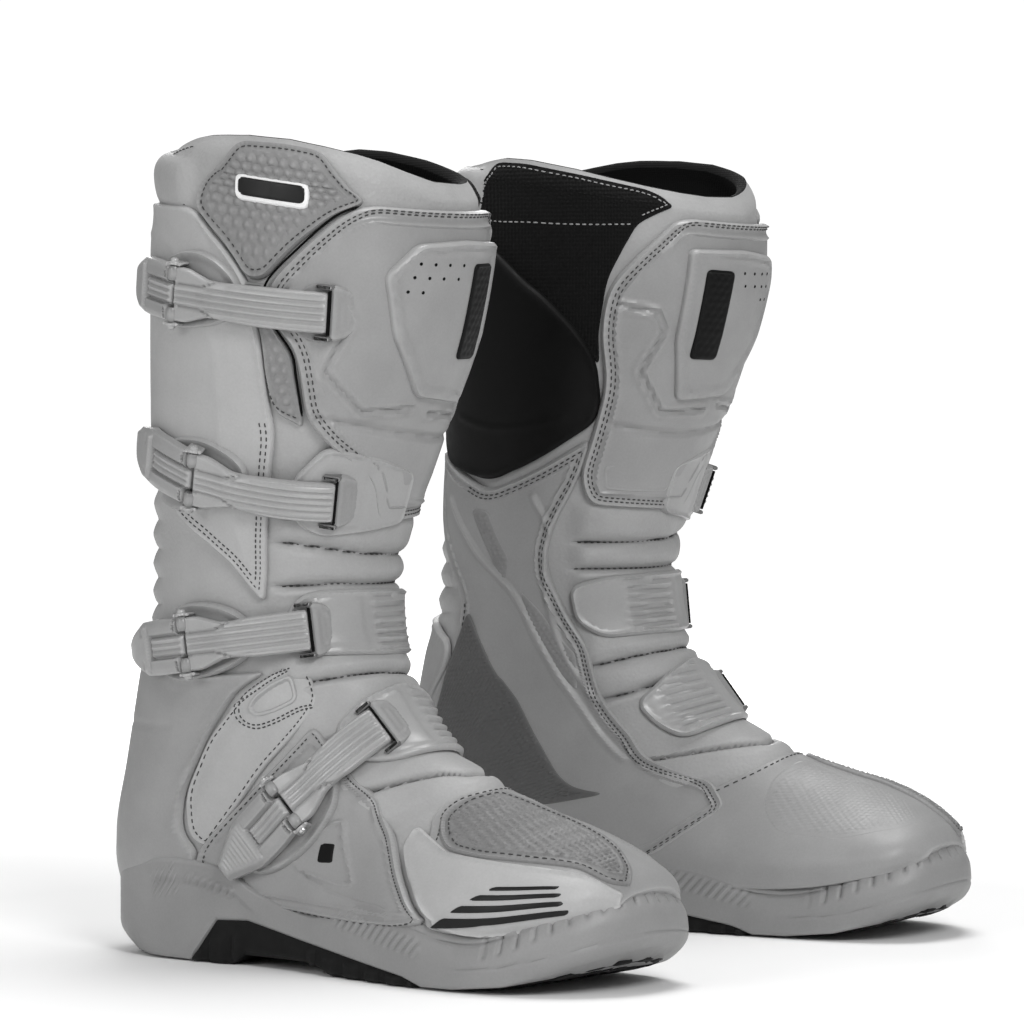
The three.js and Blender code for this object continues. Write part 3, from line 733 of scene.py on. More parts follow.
def rib_relief(angle, station):
    """How far the gathered leather sinks in at the seams and swells between them."""
    rise = np.zeros(np.shape(angle))
    turned = (angle + 180) % 360 - 180
    on_front = smoothstep(60, 46, turned) * smoothstep(-64, -50, turned)
    on_front = on_front * smoothstep(4.05, 4.4, station) * smoothstep(11.7, 11.1, station)
    lows = np.full(np.shape(angle), 9.0)
    for seam in RIB_SEAMS:
        seam = np.array(sorted(seam))
        place = np.interp(turned, seam[:, 0], seam[:, 1])
        pace = np.interp(station, [4, 6, 8, 11], [36, 32, 26, 36])
        lows = np.minimum(lows, np.abs(station - place) * pace)
    swell = np.sqrt(1 - (1 - np.clip(lows / 9, 0, 1)) ** 2)
    under_band = hump(station, 6.05, 1.0) + hump(station + .011 * turned, 8.75, 1.6)
    swell = np.minimum(swell, 1 - .3 * np.clip(2 * under_band, 0, 1))
    rise = rise + on_front * RIB_DEPTH * (swell - .38)
    around = np.abs((angle - 178 + 180) % 360 - 180)
    on_rear = smoothstep(62, 44, around) * smoothstep(4.0, 4.25, station) * smoothstep(6.35, 6.1, station)
    lows = np.full(np.shape(angle), 9.0)
    for place in REAR_RIBS:
        lows = np.minimum(lows, np.abs(station - place) * 33)
    return rise + on_rear * (3.4 * np.sqrt(np.clip(lows / 6.6, 0, 1)) - 1.0)


# How far the collar's edge stands above station 0, round the boot, in millimetres.
COLLAR_EDGE = [(-180, -9), (-150, -4), (-130, 3), (-110, 9), (-97, 10.4), (-80, 9.8), (-65, 8.2), (-50, 6.7),
               (-34, 5.5), (-18, 5), (0, 6), (14, 10), (28, 14.4), (37, 16.3), (51, 18), (66, 19),
               (84, 17.4), (100, 13.7), (110, 10.4), (130, 2), (150, -5), (180, -9)]


def collar_edge(angle):
    """The station of the collar's edge."""
    table = np.array(COLLAR_EDGE)
    return -np.interp((angle + 180) % 360 - 180, table[:, 0], table[:, 1]) / 25


def boot_upper():
    """The leather skin, its rolled top edge and its lining, as one closed piece."""
    around = np.linspace(0, 360, 181)[:-1]
    down = np.concatenate([np.linspace(0, 4, 74), np.linspace(4, 7.5, 84)[1:],
                           np.linspace(7.5, 12, 70)[1:], np.linspace(12, TOE, 56)[1:]])
    angle, row = np.meshgrid(around, down)
    edge = collar_edge(angle)
    station = np.where(row < 1, edge + (1 - edge) * row, row)
    outer = lifted(angle, station, rib_relief(angle, station) + collar_swell(angle, station))
    lip_turns = np.radians([30, 60, 90, 120, 150])
    thick = 6.0
    inner_down = np.concatenate([np.linspace(0, 8, 60), np.linspace(8, 16, 40)[1:]])
    angle_in, row = np.meshgrid(around, inner_down)
    edge = collar_edge(angle_in)
    station_in = np.where(row < 1, edge + (1 - edge) * row, row)
    depth = -thick + collar_swell(angle_in, station_in) * -.4
    inner = lifted(angle_in, station_in, depth)
    up = np.array([0, 0, 1.0])
    middle = (outer[0] + inner[0]) / 2
    half = (outer[0] - inner[0]) / 2
    lips = [middle + half * math.cos(t) + up * (2.2 * math.sin(t)) for t in lip_turns]
    rings = np.concatenate([outer[::-1], np.array(lips), inner])
    count = len(around)
    i, j = np.meshgrid(np.arange(len(rings) - 1), np.arange(count), indexing="ij")
    k = (j + 1) % count
    quads = np.stack([i * count + j, i * count + k, (i + 1) * count + k, (i + 1) * count + j], -1)
    quads = quads.reshape(-1, 4)[:, ::-1]
    points = np.vstack([rings.reshape(-1, 3), rings[0].mean(0), rings[-1].mean(0)])
    j = np.arange(count)
    k = (j + 1) % count
    toe = np.stack([np.full(count, len(points) - 2), j, k], -1)
    end = (len(rings) - 1) * count
    inside_toe = np.stack([np.full(count, len(points) - 1), end + k, end + j], -1)
    lining_from = (len(down) + 0) * count
    marks = np.concatenate([(np.arange(len(quads)) >= lining_from).astype(int), np.zeros(count, int),
                            np.ones(count, int)])
    piece("boot_upper", (points, [quads, np.vstack([toe, inside_toe])]), ["leather", "lining"], "bend",
          replaces=("shaft_upper", "ankle_sleeve", "foot_upper"),
          face_finish=marks)


def collar_swell(angle, station):
    """The padding of the collar behind and at the sides."""
    turned = np.abs((angle - 174 + 180) % 360 - 180)
    rear = smoothstep(73, 64, turned)
    return 4.2 * rear * np.sin(np.pi * np.clip((station + .1) / 1.05, 0, 1)) ** .6


# ---- Plates on the shaft --------------------------------------------------------------------------------

def shin_plate():
    outline = [(-36, .38), (-50, 1), (-63, 1.55), (-64, 2.05), (-57, 2.7), (-58, 3.3), (-60, 3.85),
               (-53, 4.22), (4, 4.28), (12, 3.7), (35, 3.32), (47, 3.02), (52, 2.6), (56, 2.3),
               (65, 2.03), (69, 1.82), (68, 1.58), (57, 1.15), (45, .66), (34, .38)]
    facets = [[(58, 1.72), (42, 1.74), (37, 1.95), (43, 2.5), (25, 2.9), (2, 2.84)],
              [(-58, 1.75), (-42, 1.8), (-38, 2.0), (-44, 2.5), (-30, 2.95), (-6, 2.9)]]
    crease = [(44, 3.0), (10, 3.12), (-20, 3.2), (-50, 3.15)]

    def relief(plate, flat, away):
        height = 1.1 * hump(away, 1.7, 1.0) + 1.1 * hump(away, 7.4, 1.1) - .5 * hump(away, 4.6, 2.2)
        for facet in facets:
            edge = plate.far(flat, facet, curve=False)
            height += .8 * hump(edge, 2.4, 2.4) - 1.0 * hump(edge, 0, 1.8)
        height -= 1.4 * hump(plate.far(flat, crease), 0, 3.0)
        height += 1.3 * smoothstep(10, 30, away)
        return height
    plate = Plate(outline, .9, 3.8, edge=1.6, step=1.6, corner=9, relief=relief)
    piece("shin_plate", plate.shape, "plate", "shaft", ("shin_plate",))
    plate.sew(3.6, "dark_thread", "shaft")
    plate.sew(5.5, "dark_thread", "shaft")
    shin_flange(plate)
    shin_badge()


def shin_flange(plate):
    """The recessed rectangle at the plate's lower inner corner."""
    outline = [(-50, 3.66), (-30, 3.56), (-10, 3.66), (-12, 3.98), (-30, 4.0), (-47, 3.98)]

    def relief(plate, flat, away):
        return -.9 * smoothstep(1.2, 2.6, away)
    inner = Plate(outline, 3.9, 1.0, edge=.8, step=2, corner=3, relief=relief)
    piece("shin_flange", inner.shape, "plate", "shaft")


def shin_badge():
    outline = [(-33, .93), (-6, .88), (15, .96), (27, 1.4), (20, 2.05), (3, 2.72), (-25, 2.8), (-33, 2.1)]

    def relief(plate, flat, away):
        return .7 * hump(away, 1.8, .9) + .6 * hump(away, 4.6, .9) - .5 * smoothstep(5.4, 6.4, away)
    badge = Plate(outline, 4.6, 3.9, edge=1.2, step=1.7, corner=4, relief=relief)
    piece("shin_badge", badge.shape, "plate", "shaft", ("shin_badge",))
    # A plain upright bar with round corners.
    insert = [(-25, 1.2), (-11, 1.2), (-11, 2.3), (-25, 2.3)]

    def brick(plate, flat, away):
        return .35 * honeycomb(flat, 4.2, .9) * smoothstep(2, 3, away) + .5 * hump(away, 1.2, .7)
    middle = Plate(insert, 7.8, 1.1, edge=.7, step=1.1, corner=3, relief=brick)
    piece("shin_badge_insert", middle.shape, "smooth_rubber", "shaft")
    dots = []
    for row in range(3):
        for column in range(5):
            place = (20 - 6.2 * column + 1.8 * row, 1.22 + .17 * row)
            if row == 2 and column > 2 or place[0] < -9 + 5 * row:
                continue
            dots.append(disc(Skin([place, (place[0] + 3, place[1] + .1)]), place, 7.7, .8, .5))
    piece("shin_badge_dots", merged(dots), "recess", "shaft")


def upright_square(place, size):
    """The outline of a square on the skin. Seen from the boot's side, it is level and upright."""
    angle, station = place
    across = (skin_point(angle + 1, station) - skin_point(angle - 1, station)) / 2
    along = (skin_point(angle, station + .05) - skin_point(angle, station - .05)) / .1
    axes = np.array([[across[0], along[0]], [across[2], along[2]]])
    corners = np.array([(-1, -1), (1, -1), (1, 1), (-1, 1)]) * size / 2
    return np.array([place + np.linalg.solve(axes, corner) for corner in corners])


def disc(surface, place, lift, radius, thick, sides=12, dome=.7):
    """A small flat-bottomed button on a surface."""
    turn = np.linspace(0, 2 * math.pi, sides, endpoint=False)
    circle = np.stack([np.cos(turn), np.sin(turn)], -1)
    middle = surface.flat([place])[0]
    rings = []
    for scale, rise in ((1.0, 0.0), (1.0, dome), (.82, 1.0)):
        rings.append(surface.at(middle + radius * scale * circle, np.full(sides, lift + thick * rise)))
    points = np.vstack(rings)
    i, j = np.meshgrid(np.arange(2), np.arange(sides), indexing="ij")
    k = (j + 1) % sides
    quads = np.stack([i * sides + j, i * sides + k, (i + 1) * sides + k, (i + 1) * sides + j], -1)
    ends = np.array([range(sides)])
    return points, [quads.reshape(-1, 4), ends[:, ::-1], ends + 2 * sides]


def calf_plate():
    outline = [(150, .98), (122, .93), (101, .87), (78, 1.6), (72, 2.1), (64, 2.85), (59, 3.2),
               (58, 3.9), (56, 5.0), (58, 5.62), (74, 4.95), (90, 4.58), (104, 4.3), (109, 4.05),
               (124, 4.05), (146, 4.0), (156, 3.2), (158, 2.1), (156, 1.5)]
    swage = [(140, 1.3), (112, 1.35), (92, 2.0), (84, 2.9), (80, 3.6), (66, 4.9)]

    def relief(plate, flat, away):
        height = .6 * hump(away, 1.6, 1.1) + 1.5 * smoothstep(3, 26, away)
        return height + .5 * hump(plate.far(flat, swage), 0, 3.5)
    plate = Plate(outline, .6, 2.6, edge=1.4, step=2.4, corner=7, relief=relief)
    piece("calf_plate", plate.shape, "light_leather", "bend", ("calf_plate",))

    def front(flat):
        angle = flat[:, 0] / plate.surface.scale[0]
        station = flat[:, 1] / plate.surface.scale[1]
        return ((station > 3.0) & (angle < 70)) | ((station > 4.2) & (angle < 112))
    plate.sew(3.4, "dark_thread", "bend", front)
    plate.sew(6.0, "dark_thread", "bend", front)


def collar_patch():
    outline = [(100, .85), (98, .45), (85, -.6), (66, -.68), (52, -.64), (34, .34),
               (47, .66), (60, 1.15), (71, 1.58), (78, 1.6), (84, 1.38)]

    def relief(plate, flat, away):
        cells = 1.0 * honeycomb(flat, 5.6, 1.2) * smoothstep(5.4, 6.4, away)
        return cells + 1.0 * hump(away, 1.4, 1.0) + .6 * hump(away, 5.0, .9)
    patch = Plate(outline, .3, 2.2, edge=1.3, step=1.25, corner=6, relief=relief)
    piece("collar_patch", patch.shape, "matte", "shaft")
    patch.sew(3.2, "dark_thread", "shaft")
    # A plain label: a rectangle with round corners.
    emblem = [(84, 0), (56, 0), (56, .62), (84, .62)]

    def rays(plate, flat, away):
        return .4 * hump(away, 1.2, .7)
    edge = Plate(emblem, 1.9, 2.0, edge=.9, step=1.6, corner=4, relief=rays)
    piece("collar_emblem_edge", edge.shape, "emblem_edge", "shaft")
    moved, good = inset(edge.ring, 2.0)
    core = Plate(edge.surface.flat([(1, 1)]) * 0 + resampled(moved[good], 2.5) / edge.surface.scale, 3.2,
                 1.3, edge=.7, step=1.6, corner=1, surface=edge.surface)
    piece("collar_emblem", core.shape, "emblem", "shaft")
    strip = [(80, 1.62), (73, 2.0), (70, 2.22), (67, 2.55), (63, 2.86), (59, 3.0), (47, 3.14),
             (49, 2.95), (54, 2.6), (57, 2.36), (66, 2.05), (70, 1.82), (70, 1.62)]

    def cells(plate, flat, away):
        return .9 * honeycomb(flat, 5.6, 1.2) * smoothstep(2.6, 3.6, away) + .7 * hump(away, 1.0, .8)
    lower = Plate(strip, .3, 1.9, edge=1.0, step=1.15, corner=3, relief=cells)
    piece("side_strip", lower.shape, "matte", "shaft")
    behind = [(79, 1.72), (74, 2.0), (70.5, 2.22), (67, 2.55), (62, 2.84), (58, 2.95), (50, 3.03)]
    lower.sew_line(behind, "dark_thread", "shaft")
    # Painted shadow: a thin near-black cord laid in the gap between the shin plate's edge and the collar patch and side
    # strip, standing in for the shade in that gap.
    shadow = [(37.5, .44), (46, .64), (59, 1.17), (70, 1.6), (69.5, 1.84), (66, 2.04),
              (57, 2.33), (53.5, 2.6), (48.5, 3.0)]
    piping("side_gap_shadow", shadow, .55, "recess", "shaft", lift=2.3)


def collar_trim():
    """Stitching round the padded back of the collar."""
    angles = np.array([106, 122, 138, 160, 190, 214, 228, 240.0])
    for station in (collar_edge(angles) + .16, np.full(len(angles), .86)):
        sew_skin(list(zip(angles, station)), "dark_thread", "shaft", 1.0)


def medial_shaft():
    """The inner side of the shaft: a black mesh panel above a smooth black guard."""
    mesh = [(247, -.28), (262, -.36), (284, -.32), (311, -.22), (318, -.1), (322, .1), (306, .62),
            (296, 1.5), (295.5, 2.1), (299, 2.5), (286, 2.1), (274, 1.8), (255, 1.36), (237, 1.1), (241, .4)]

    def net(plate, flat, away):
        return .7 * bumps(flat, 2.9, 1.25) * smoothstep(1.5, 2.5, away) + .4 * hump(away, .9, .6)
    panel = Plate(mesh, .2, 1.0, edge=.9, step=1.1, corner=5, relief=net)
    piece("medial_mesh", panel.shape, "black_mesh", "shaft")
    panel.sew(3.2, "pale_thread", "shaft", lambda flat: flat[:, 1] < .5 * panel.surface.scale[1])
    panel.sew_line([(243, .92), (252, .94), (268, .86), (286, .76), (306, .62)], "pale_thread", "shaft")
    guard = [(236, 1.06), (255, 1.33), (274, 1.74), (286, 2.04), (297, 2.4), (303, 2.9), (302, 3.15),
             (282, 3.6), (260, 4.0), (226, 3.84), (209, 3.45), (214, 2.8), (225, 2.0)]

    def relief(plate, flat, away):
        height = .7 * hump(away, 2.0, 1.2)
        return height + .5 * hump(plate.far(flat, [(236, 3.2), (262, 3.3), (288, 3.1)]), 0, 2.2)
    plate = Plate(guard, .8, 3.0, edge=1.7, step=2.0, corner=9, relief=relief)
    piece("medial_guard", plate.shape, "smooth_rubber", "shaft", ("medial_guard",))
    piping("medial_guard_edge", [(209, 3.4), (214, 2.78), (225, 1.98), (236, 1.08)], .9, "shell", "shaft",
           lift=.9)


# ---- Plates on the foot ---------------------------------------------------------------------------------

def medial_panel():
    outline = [(210, 3.62), (221, 4.75), (244, 5.8), (242, 6.85), (230, 7.45), (225, 8.5), (224, 10.2),
               (240, 10.9), (256, 12.0), (272, 12.4), (306, 12.3), (317, 11.4), (315, 10.6),
               (313, 9.05), (306, 8.0), (306, 6.8), (296, 5.95), (288, 5.2), (292, 4.5), (300, 3.9),
               (303, 3.3), (283, 3.72), (260, 4.14)]
    ribs = [[(233, 4.3), (254, 5.0), (275, 5.85), (297, 8.0), (308, 9.7)],
            [(280, 4.15), (292, 4.8), (288, 5.4), (293, 6.65), (304, 8.1)]]
    grid = [(250, 6.0), (262, 6.7), (276, 7.7), (286, 8.8), (296, 10.5), (284, 10.1), (266, 9.2), (250, 8.7),
            (237, 8.1), (241, 7.0)]

    def relief(plate, flat, away):
        height = 1.0 * hump(away, 1.5, .9) + 1.0 * hump(away, 6.0, .9) + .5 * smoothstep(9, 18, away)
        for rib in ribs:
            height += 1.5 * hump(plate.far(flat, rib), 0, 2.8)
        return height
    plate = Plate(outline, .6, 2.8, edge=1.3, step=1.15, corner=9, relief=relief)
    piece("medial_panel", plate.shape, "moulded", "bend", ("medial_panel",))
    for by in (3.0, 4.5):
        plate.sew(by, "dark_thread", "bend", lambda flat: flat[:, 0] > 246 * plate.surface.scale[0])

    def pins(plate, flat, away):
        return 1.0 * bumps(flat, 2.9, 1.3) * smoothstep(1, 2, away)
    dotted = Plate(grid, 3.6, 1.0, edge=.9, step=1.0, corner=6, relief=pins)
    piece("medial_grid", dotted.shape, "dark_grey", "bend")
    upper_strip = [(250, 4.4), (260, 4.4), (271, 5.1), (270, 5.65), (261, 5.0)]
    lower_strip = [(276, 5.65), (286, 6.1), (300, 7.0), (298, 7.8), (290, 7.2), (279, 6.25)]
    strips = [Plate(strip, 3.3, .8, edge=.7, step=1.0, corner=3, relief=pins).shape
              for strip in (upper_strip, lower_strip)]
    piece("medial_strips", merged(strips), "matte", "bend")


def heel_counter():
    outline = [(60, 6.86), (75, 7.18), (86, 7.9), (90, 8.6), (90, 9.3), (86, 9.9), (90, 10.3),
               (150, 9.9), (180, 9.7), (222, 10.3), (223, 8.6), (229, 7.5), (240, 6.9), (236, 6.5),
               (215, 6.2), (180, 6.05), (150, 6.1), (122, 6.25), (102, 6.8)]

    def relief(plate, flat, away):
        height = .6 * hump(away, 1.6, 1.0) + .45 * hump(away, 4.6, .9) + .9 * smoothstep(6, 20, away)
        return height - .5 * hump(plate.far(flat, [(100, 7.6), (140, 7.4), (180, 7.3), (225, 7.5)]), 0, 2)
    plate = Plate(outline, .8, 2.9, edge=1.5, step=2.2, corner=8, relief=relief)
    piece("heel_counter", plate.shape, "moulded", "foot", ("heel_counter",))


def ankle_patch():
    outline = [(47, 6.72), (60, 6.95), (74, 7.3), (86, 7.95), (90, 8.75), (88, 9.5), (84, 9.95), (80, 9.7),
               (66, 8.75), (50, 8.05), (41, 7.6), (41, 7.0)]

    def relief(plate, flat, away):
        return .5 * hump(away, 1.4, .9) + 1.2 * smoothstep(2, 12, away)
    patch = Plate(outline, .3, 1.6, edge=1.2, step=1.8, corner=7, relief=relief)
    piece("ankle_patch", patch.shape, "light_leather", "foot")
    patch.sew(2.6, "dark_thread", "foot")
    recess = [(49, 6.95), (60, 7.12), (67, 7.32), (70, 7.52), (67, 7.74), (60, 7.72), (49, 7.56)]
    groove = Plate(recess, 2.4, 1.6, edge=.8, step=1.2, corner=5,
                   relief=lambda plate, flat, away: -2.2 * smoothstep(1.2, 3.2, away))
    piece("ankle_tab", groove.shape, "leather", "foot")
    for out in (1.5, 3.2):
        patch.sew_line([(40, 7.72 + .02 * out), (49, 7.64 + .04 * out), (60, 7.8 + .04 * out), (68, 7.82 + .04 * out),
                        (72 + out, 7.6 + .01 * out), (70 + out, 7.3 - .02 * out), (60, 7.04 - .04 * out),
                        (49, 6.9 - .04 * out)], "dark_thread", "foot")


def side_guard():
    outline = [(46, 8.12), (40, 9.1), (39, 10.2), (41, 10.65), (52, 11.7), (62, 12.4), (72, 13.05),
               (91, 14.05), (99, 13.5), (104, 12.4), (101, 11.2), (92, 10.5), (85, 9.85), (66, 8.95)]
    window = upright_square((69, 11.35), 9)
    triangle = [(56, 10.72), (60, 10.78), (76, 11.12), (81, 12.15), (77, 12.22), (58, 11.0)]
    crease = [(80, 11.5), (84, 12.0), (86, 12.6), (88, 13.2)]

    def relief(plate, flat, away):
        height = 1.0 * hump(away, 1.4, .9) + .9 * hump(away, 5.2, .9) + .4 * smoothstep(6, 12, away)
        height += 1.1 * hump(plate.far(flat, triangle, closed=True), 0, 1.5)
        height -= .8 * hump(plate.far(flat, crease), 0, 1.6)
        return height
    plate = Plate(outline, .8, 2.8, edge=1.4, step=1.6, corner=8, relief=relief)
    piece("side_guard", plate.shape, "moulded", "foot", ("side_guard",))
    plate.sew(3.4, "dark_thread", "foot")
    insert = Plate(window, 3.4, 1.0, edge=.7, step=1.2, corner=2)
    piece("side_guard_insert", insert.shape, "smooth_rubber", "foot")


def toe():
    cap = [(-50, 11.6), (-30, 11.6), (-8, 11.5), (8, 11.5), (24, 11.42), (37, 11.66), (46, 12.2),
           (62, 12.9),
           (80, 13.7), (96, 14.2), (106, 15), (106, 16.2), (84, 16.95), (0, 16.97), (-84, 16.95),
           (-106, 16.2), (-108, 14), (-106, 12.4), (-90, 11.6), (-70, 11.4)]

    def smooth(plate, flat, away):
        return .6 * smoothstep(2, 12, away) + .5 * hump(away, 1.3, .8)
    base = Plate(cap, .5, 2.4, edge=1.3, step=1.9, corner=7, relief=smooth)
    piece("toe_cap", base.shape, "moulded", "foot", ("toe_cap",))
    light = [(44, 11.75), (47, 12.3), (50, 13.0), (47, 14.0), (41, 15.1), (38, 15.8), (44, 16.6), (84, 16.9),
             (106, 16.2), (106, 15), (92, 14.22), (72, 13.22), (55, 12.1)]

    def border(plate, flat, away):
        return .8 * hump(away, 1.3, .8) + .5 * smoothstep(2, 10, away)
    panel = Plate(light, 2.2, 1.6, edge=1.2, step=1.8, corner=6, relief=border)
    piece("toe_panel", panel.shape, "light_leather", "foot")
    lateral = [(45, 12.4), (37, 11.9), (23, 11.64), (4, 11.74), (-1, 12.4), (-3, 13.4), (-3, 14.4),
               (1, 15.3), (12, 16.1), (30, 16.5), (40, 16.2), (36, 15.4), (43, 14.5), (49, 13.6),
               (50, 12.9)]

    def pebble(plate, flat, away):
        cells = 1.3 * bumps(flat, 3.2, 1.5, 1.0, .3) * smoothstep(6.0, 7.0, away)
        return cells + .9 * hump(away, 1.4, .8) + .8 * hump(away, 5.2, .8)
    patch = Plate(lateral, 2.6, 2.0, edge=1.1, step=1.05, corner=5, relief=pebble)
    piece("toe_patch", patch.shape, "grip_leather", "foot")
    patch.sew(3.3, "dark_thread", "foot")
    base.sew(3.4, "dark_thread", "foot", lambda flat: flat[:, 1] < 12.5 * base.surface.scale[1])
    toe_bars()
    medial = [(-6, 11.9), (-30, 12.1), (-48, 12.7), (-62, 13.6), (-60, 14.8), (-40, 15.6), (-16, 15.8),
              (-7, 15.0), (-7, 13.4)]

    def mesh(plate, flat, away):
        return .7 * bumps(flat, 2.8, 1.3) * smoothstep(2, 5, away)
    dots = Plate(medial, 2.9, .7, edge=1.0, step=1.05, corner=7, relief=mesh)
    piece("toe_medial_patch", dots.shape, "moulded", "foot")


# ---- Sole -----------------------------------------------------------------------------------------------

SOLE_OUTLINE = [(-6, 0), (2, -30), (28, -46.5), (100, -46), (160, -50), (216, -56.5), (262, -52),
                (292, -36), (307, -10), (308, 14), (299, 38), (272, 51), (222, 54.5), (160, 51.5),
                (100, 49.5), (28, 47.5), (2, 32)]
SOLE_TOP = [(-14, 47), (22, 44), (105, 28), (165, 34), (232, 25), (282, 39), (316, 56)]
SOLE_TOP_OUTER = [(-14, 42), (8, 41.5), (26, 44), (46, 48.5), (68, 48), (90, 44.5), (103, 37),
                  (118, 31.5), (138, 27.5), (150, 28.5), (163, 35), (186, 36.5), (222, 28.5),
                  (244, 26), (264, 31), (284, 40), (302, 50), (316, 56)]
SHELL_BOTTOM = [(-14, 7), (0, 4), (20, 1.2), (64, .6), (80, 20.5), (100, 21.5), (136, 15), (170, 9.5),
                (206, 4.5), (218, .8), (236, 1.0), (262, 3.6), (284, 9), (300, 15), (316, 22)]
OUTSOLE_BOTTOM = [(-14, 0), (88, 0), (96, 5), (138, 5), (158, 0), (232, 0), (256, 1.6), (276, 6), (298, 13),
                  (316, 20)]


def profile(points, x):
    table = np.array(points, float)
    return np.interp(x, table[:, 0], table[:, 1])


def smooth_profile(points, x):
    table = spline(points, closed=False)
    return np.interp(x, table[:, 0], table[:, 1])


class Wall:
    """The sole's side: x runs round the outline from the back of the heel, y up from the ground."""

    def __init__(self, step):
        ring = resampled(spline(SOLE_OUTLINE), step)
        self.ring = anticlockwise(ring)
        start = int(np.argmin(self.ring[:, 0]))
        self.ring = np.roll(self.ring, -start, 0)
        tangent = unit(np.roll(self.ring, -1, 0) - np.roll(self.ring, 1, 0))
        self.normal = np.stack([tangent[:, 1], -tangent[:, 0]], -1)


def sole_shell():
    """A moulded tray with stepped bands, hatching at the heel and slits round the toe rim."""
    wall = Wall(1.15)
    ring, normal = wall.ring, wall.normal
    x = ring[:, 0]
    bottom = profile(SHELL_BOTTOM, x)
    outer_side = smoothstep(6, -14, ring[:, 1])
    top = outer_side * smooth_profile(SOLE_TOP_OUTER, x) + (1 - outer_side) * smooth_profile(SOLE_TOP, x)
    around = np.concatenate([[0], np.cumsum(np.linalg.norm(np.diff(ring, axis=0), axis=1))])
    length = around[-1] + 1.15
    rows = 34
    v = np.linspace(0, 1, rows)[:, None]
    z = bottom + (top - bottom) * v
    high = z - bottom
    low = top - z
    out = np.zeros_like(z) + sole_bands(x, z, high, low)
    out += sole_hatching(x, ring[:, 1], around, length, z, high, low)
    out -= 1.4 * (1 - np.clip(low / 1.6, 0, 1)) ** 2
    out -= 1.2 * (1 - np.clip(high / 1.4, 0, 1)) ** 2
    outer = np.concatenate([ring[None] + out[..., None] * normal[None], z[..., None]], -1)
    inner_z = np.linspace(1, 0, 6)[:, None] * (top - bottom - 5) + bottom + 5
    inner_z[0] = top
    inner_ring = ring + (out[-1] - 3.0)[:, None] * normal
    inner = np.concatenate([np.repeat(inner_ring[None], 6, 0), inner_z[..., None]], -1)
    rings = np.concatenate([outer, inner])
    count = len(ring)
    i, j = np.meshgrid(np.arange(len(rings) - 1), np.arange(count), indexing="ij")
    k = (j + 1) % count
    quads = np.stack([i * count + j, i * count + k, (i + 1) * count + k, (i + 1) * count + j], -1)
    points = rings.reshape(-1, 3)
    floor_ring, base_ring = rings[-1], rings[0]
    floor = capped(floor_ring, lambda p: profile(SHELL_BOTTOM, p[:, 0]) + 5)
    base = capped(base_ring, lambda p: profile(SHELL_BOTTOM, p[:, 0]))
    shape = joined_caps(points, quads.reshape(-1, 4), [(floor, (len(rings) - 1) * count, False),
                                                       (base, 0, True)])
    piece("sole_shell", shape, "shell", "foot", ("sole_shell",), sharp=50)


def capped(ring, height):
    """A filled area inside a ring of the sole, at the height a function gives."""
    flat = ring[:, :2]
    points, faces, where = triangulated(flat, grid_inside(flat, 7, 3.5))
    return np.column_stack([points, height(points)]), faces, where


def joined_caps(points, quads, caps):
    """Joins caps onto a wall grid. Each cap is (cap, first index of its ring, facing down)."""
    faces = [quads]
    for (cap_points, cap_faces, where), first, downwards in caps:
        index = np.arange(len(cap_points)) + len(points)
        index[where] = first + np.arange(len(where))
        points = np.vstack([points, cap_points])
        joined = index[cap_faces]
        faces.append(joined[:, ::-1] if downwards else joined)
    used = np.zeros(len(points), bool)
    for f in faces:
        used[f.ravel()] = True
    new = np.cumsum(used) - 1
    return points[used], [new[f] for f in faces]


def sole_bands(x, z, high, low):
    """The long mouldings along the sole's side, and how it rounds in towards its edges."""
    out = -7.0 * smoothstep(190, 262, x) * np.clip(1 - low / 17, 0, 1) ** 1.6
    out -= 4.5 * smoothstep(270, 304, x) * np.clip(1 - low / 24, 0, 1) ** 1.8
    out -= 2.0 * smoothstep(100, 140, x) * smoothstep(262, 190, x) * np.clip(1 - low / 14, 0, 1) ** 1.6
    out -= 9.0 * smoothstep(44, 8, x) * np.clip(1 - high / 13, 0, 1) ** 2
    out -= 5.0 * smoothstep(262, 296, x) * np.clip(1 - high / 9, 0, 1) ** 2
    out -= .9 * hump(low, 4.6, .8) * smoothstep(196, 214, x)
    out -= .6 * hump(high, 9, .9) * smoothstep(226, 246, x)
    return out + 1.2 * smoothstep(12, 8, low) * smoothstep(30, 44, x) * smoothstep(112, 96, x)


def slanted_block(x, z, middle, half_length, half_height, slope):
    """1 inside a slanted block on the sole's side, falling off at its edges."""
    along = x - middle[0]
    off = z - middle[1] - slope * along
    return smoothstep(half_length, half_length - 2, np.abs(along)) * smoothstep(
        half_height, half_height - 1.2, np.abs(off))


def sole_hatching(x, y, around, length, z, high, low):
    """Fine slanted ridges: two blocks at the heel, a row that fades forwards, a fan at the ball, and
    slits across the toe rim."""
    slant = np.abs(around - length / 2)
    fine = waves(slant + .8 * z, 3.1, 1.5) - .3
    out = 1.0 * fine * slanted_block(x, z, (48, 37), 9, 7, .25)
    out += 1.0 * fine * smoothstep(7, 3, x) * smoothstep(12, 9, np.abs(y + 14)) * smoothstep(
        7.5, 6, np.abs(z - 27))
    out += 1.0 * fine * smoothstep(7, 3, x) * smoothstep(12, 9, np.abs(y - 16)) * smoothstep(
        7.5, 6, np.abs(z - 27))
    wide = waves(slant + .9 * z, 5.4, 2.2)
    out += .9 * wide * slanted_block(x, z, (77, 37), 17, 3.4, -.22)
    out += 1.1 * (wide - .3) * slanted_block(x, z, (188, 23), 30, 5.0, -.18)
    rim = smoothstep(244, 256, x) * smoothstep(1.4, 2.6, low) * smoothstep(12.5, 11, low)
    return out - 1.7 * rim * waves(around, 8.5, 9)


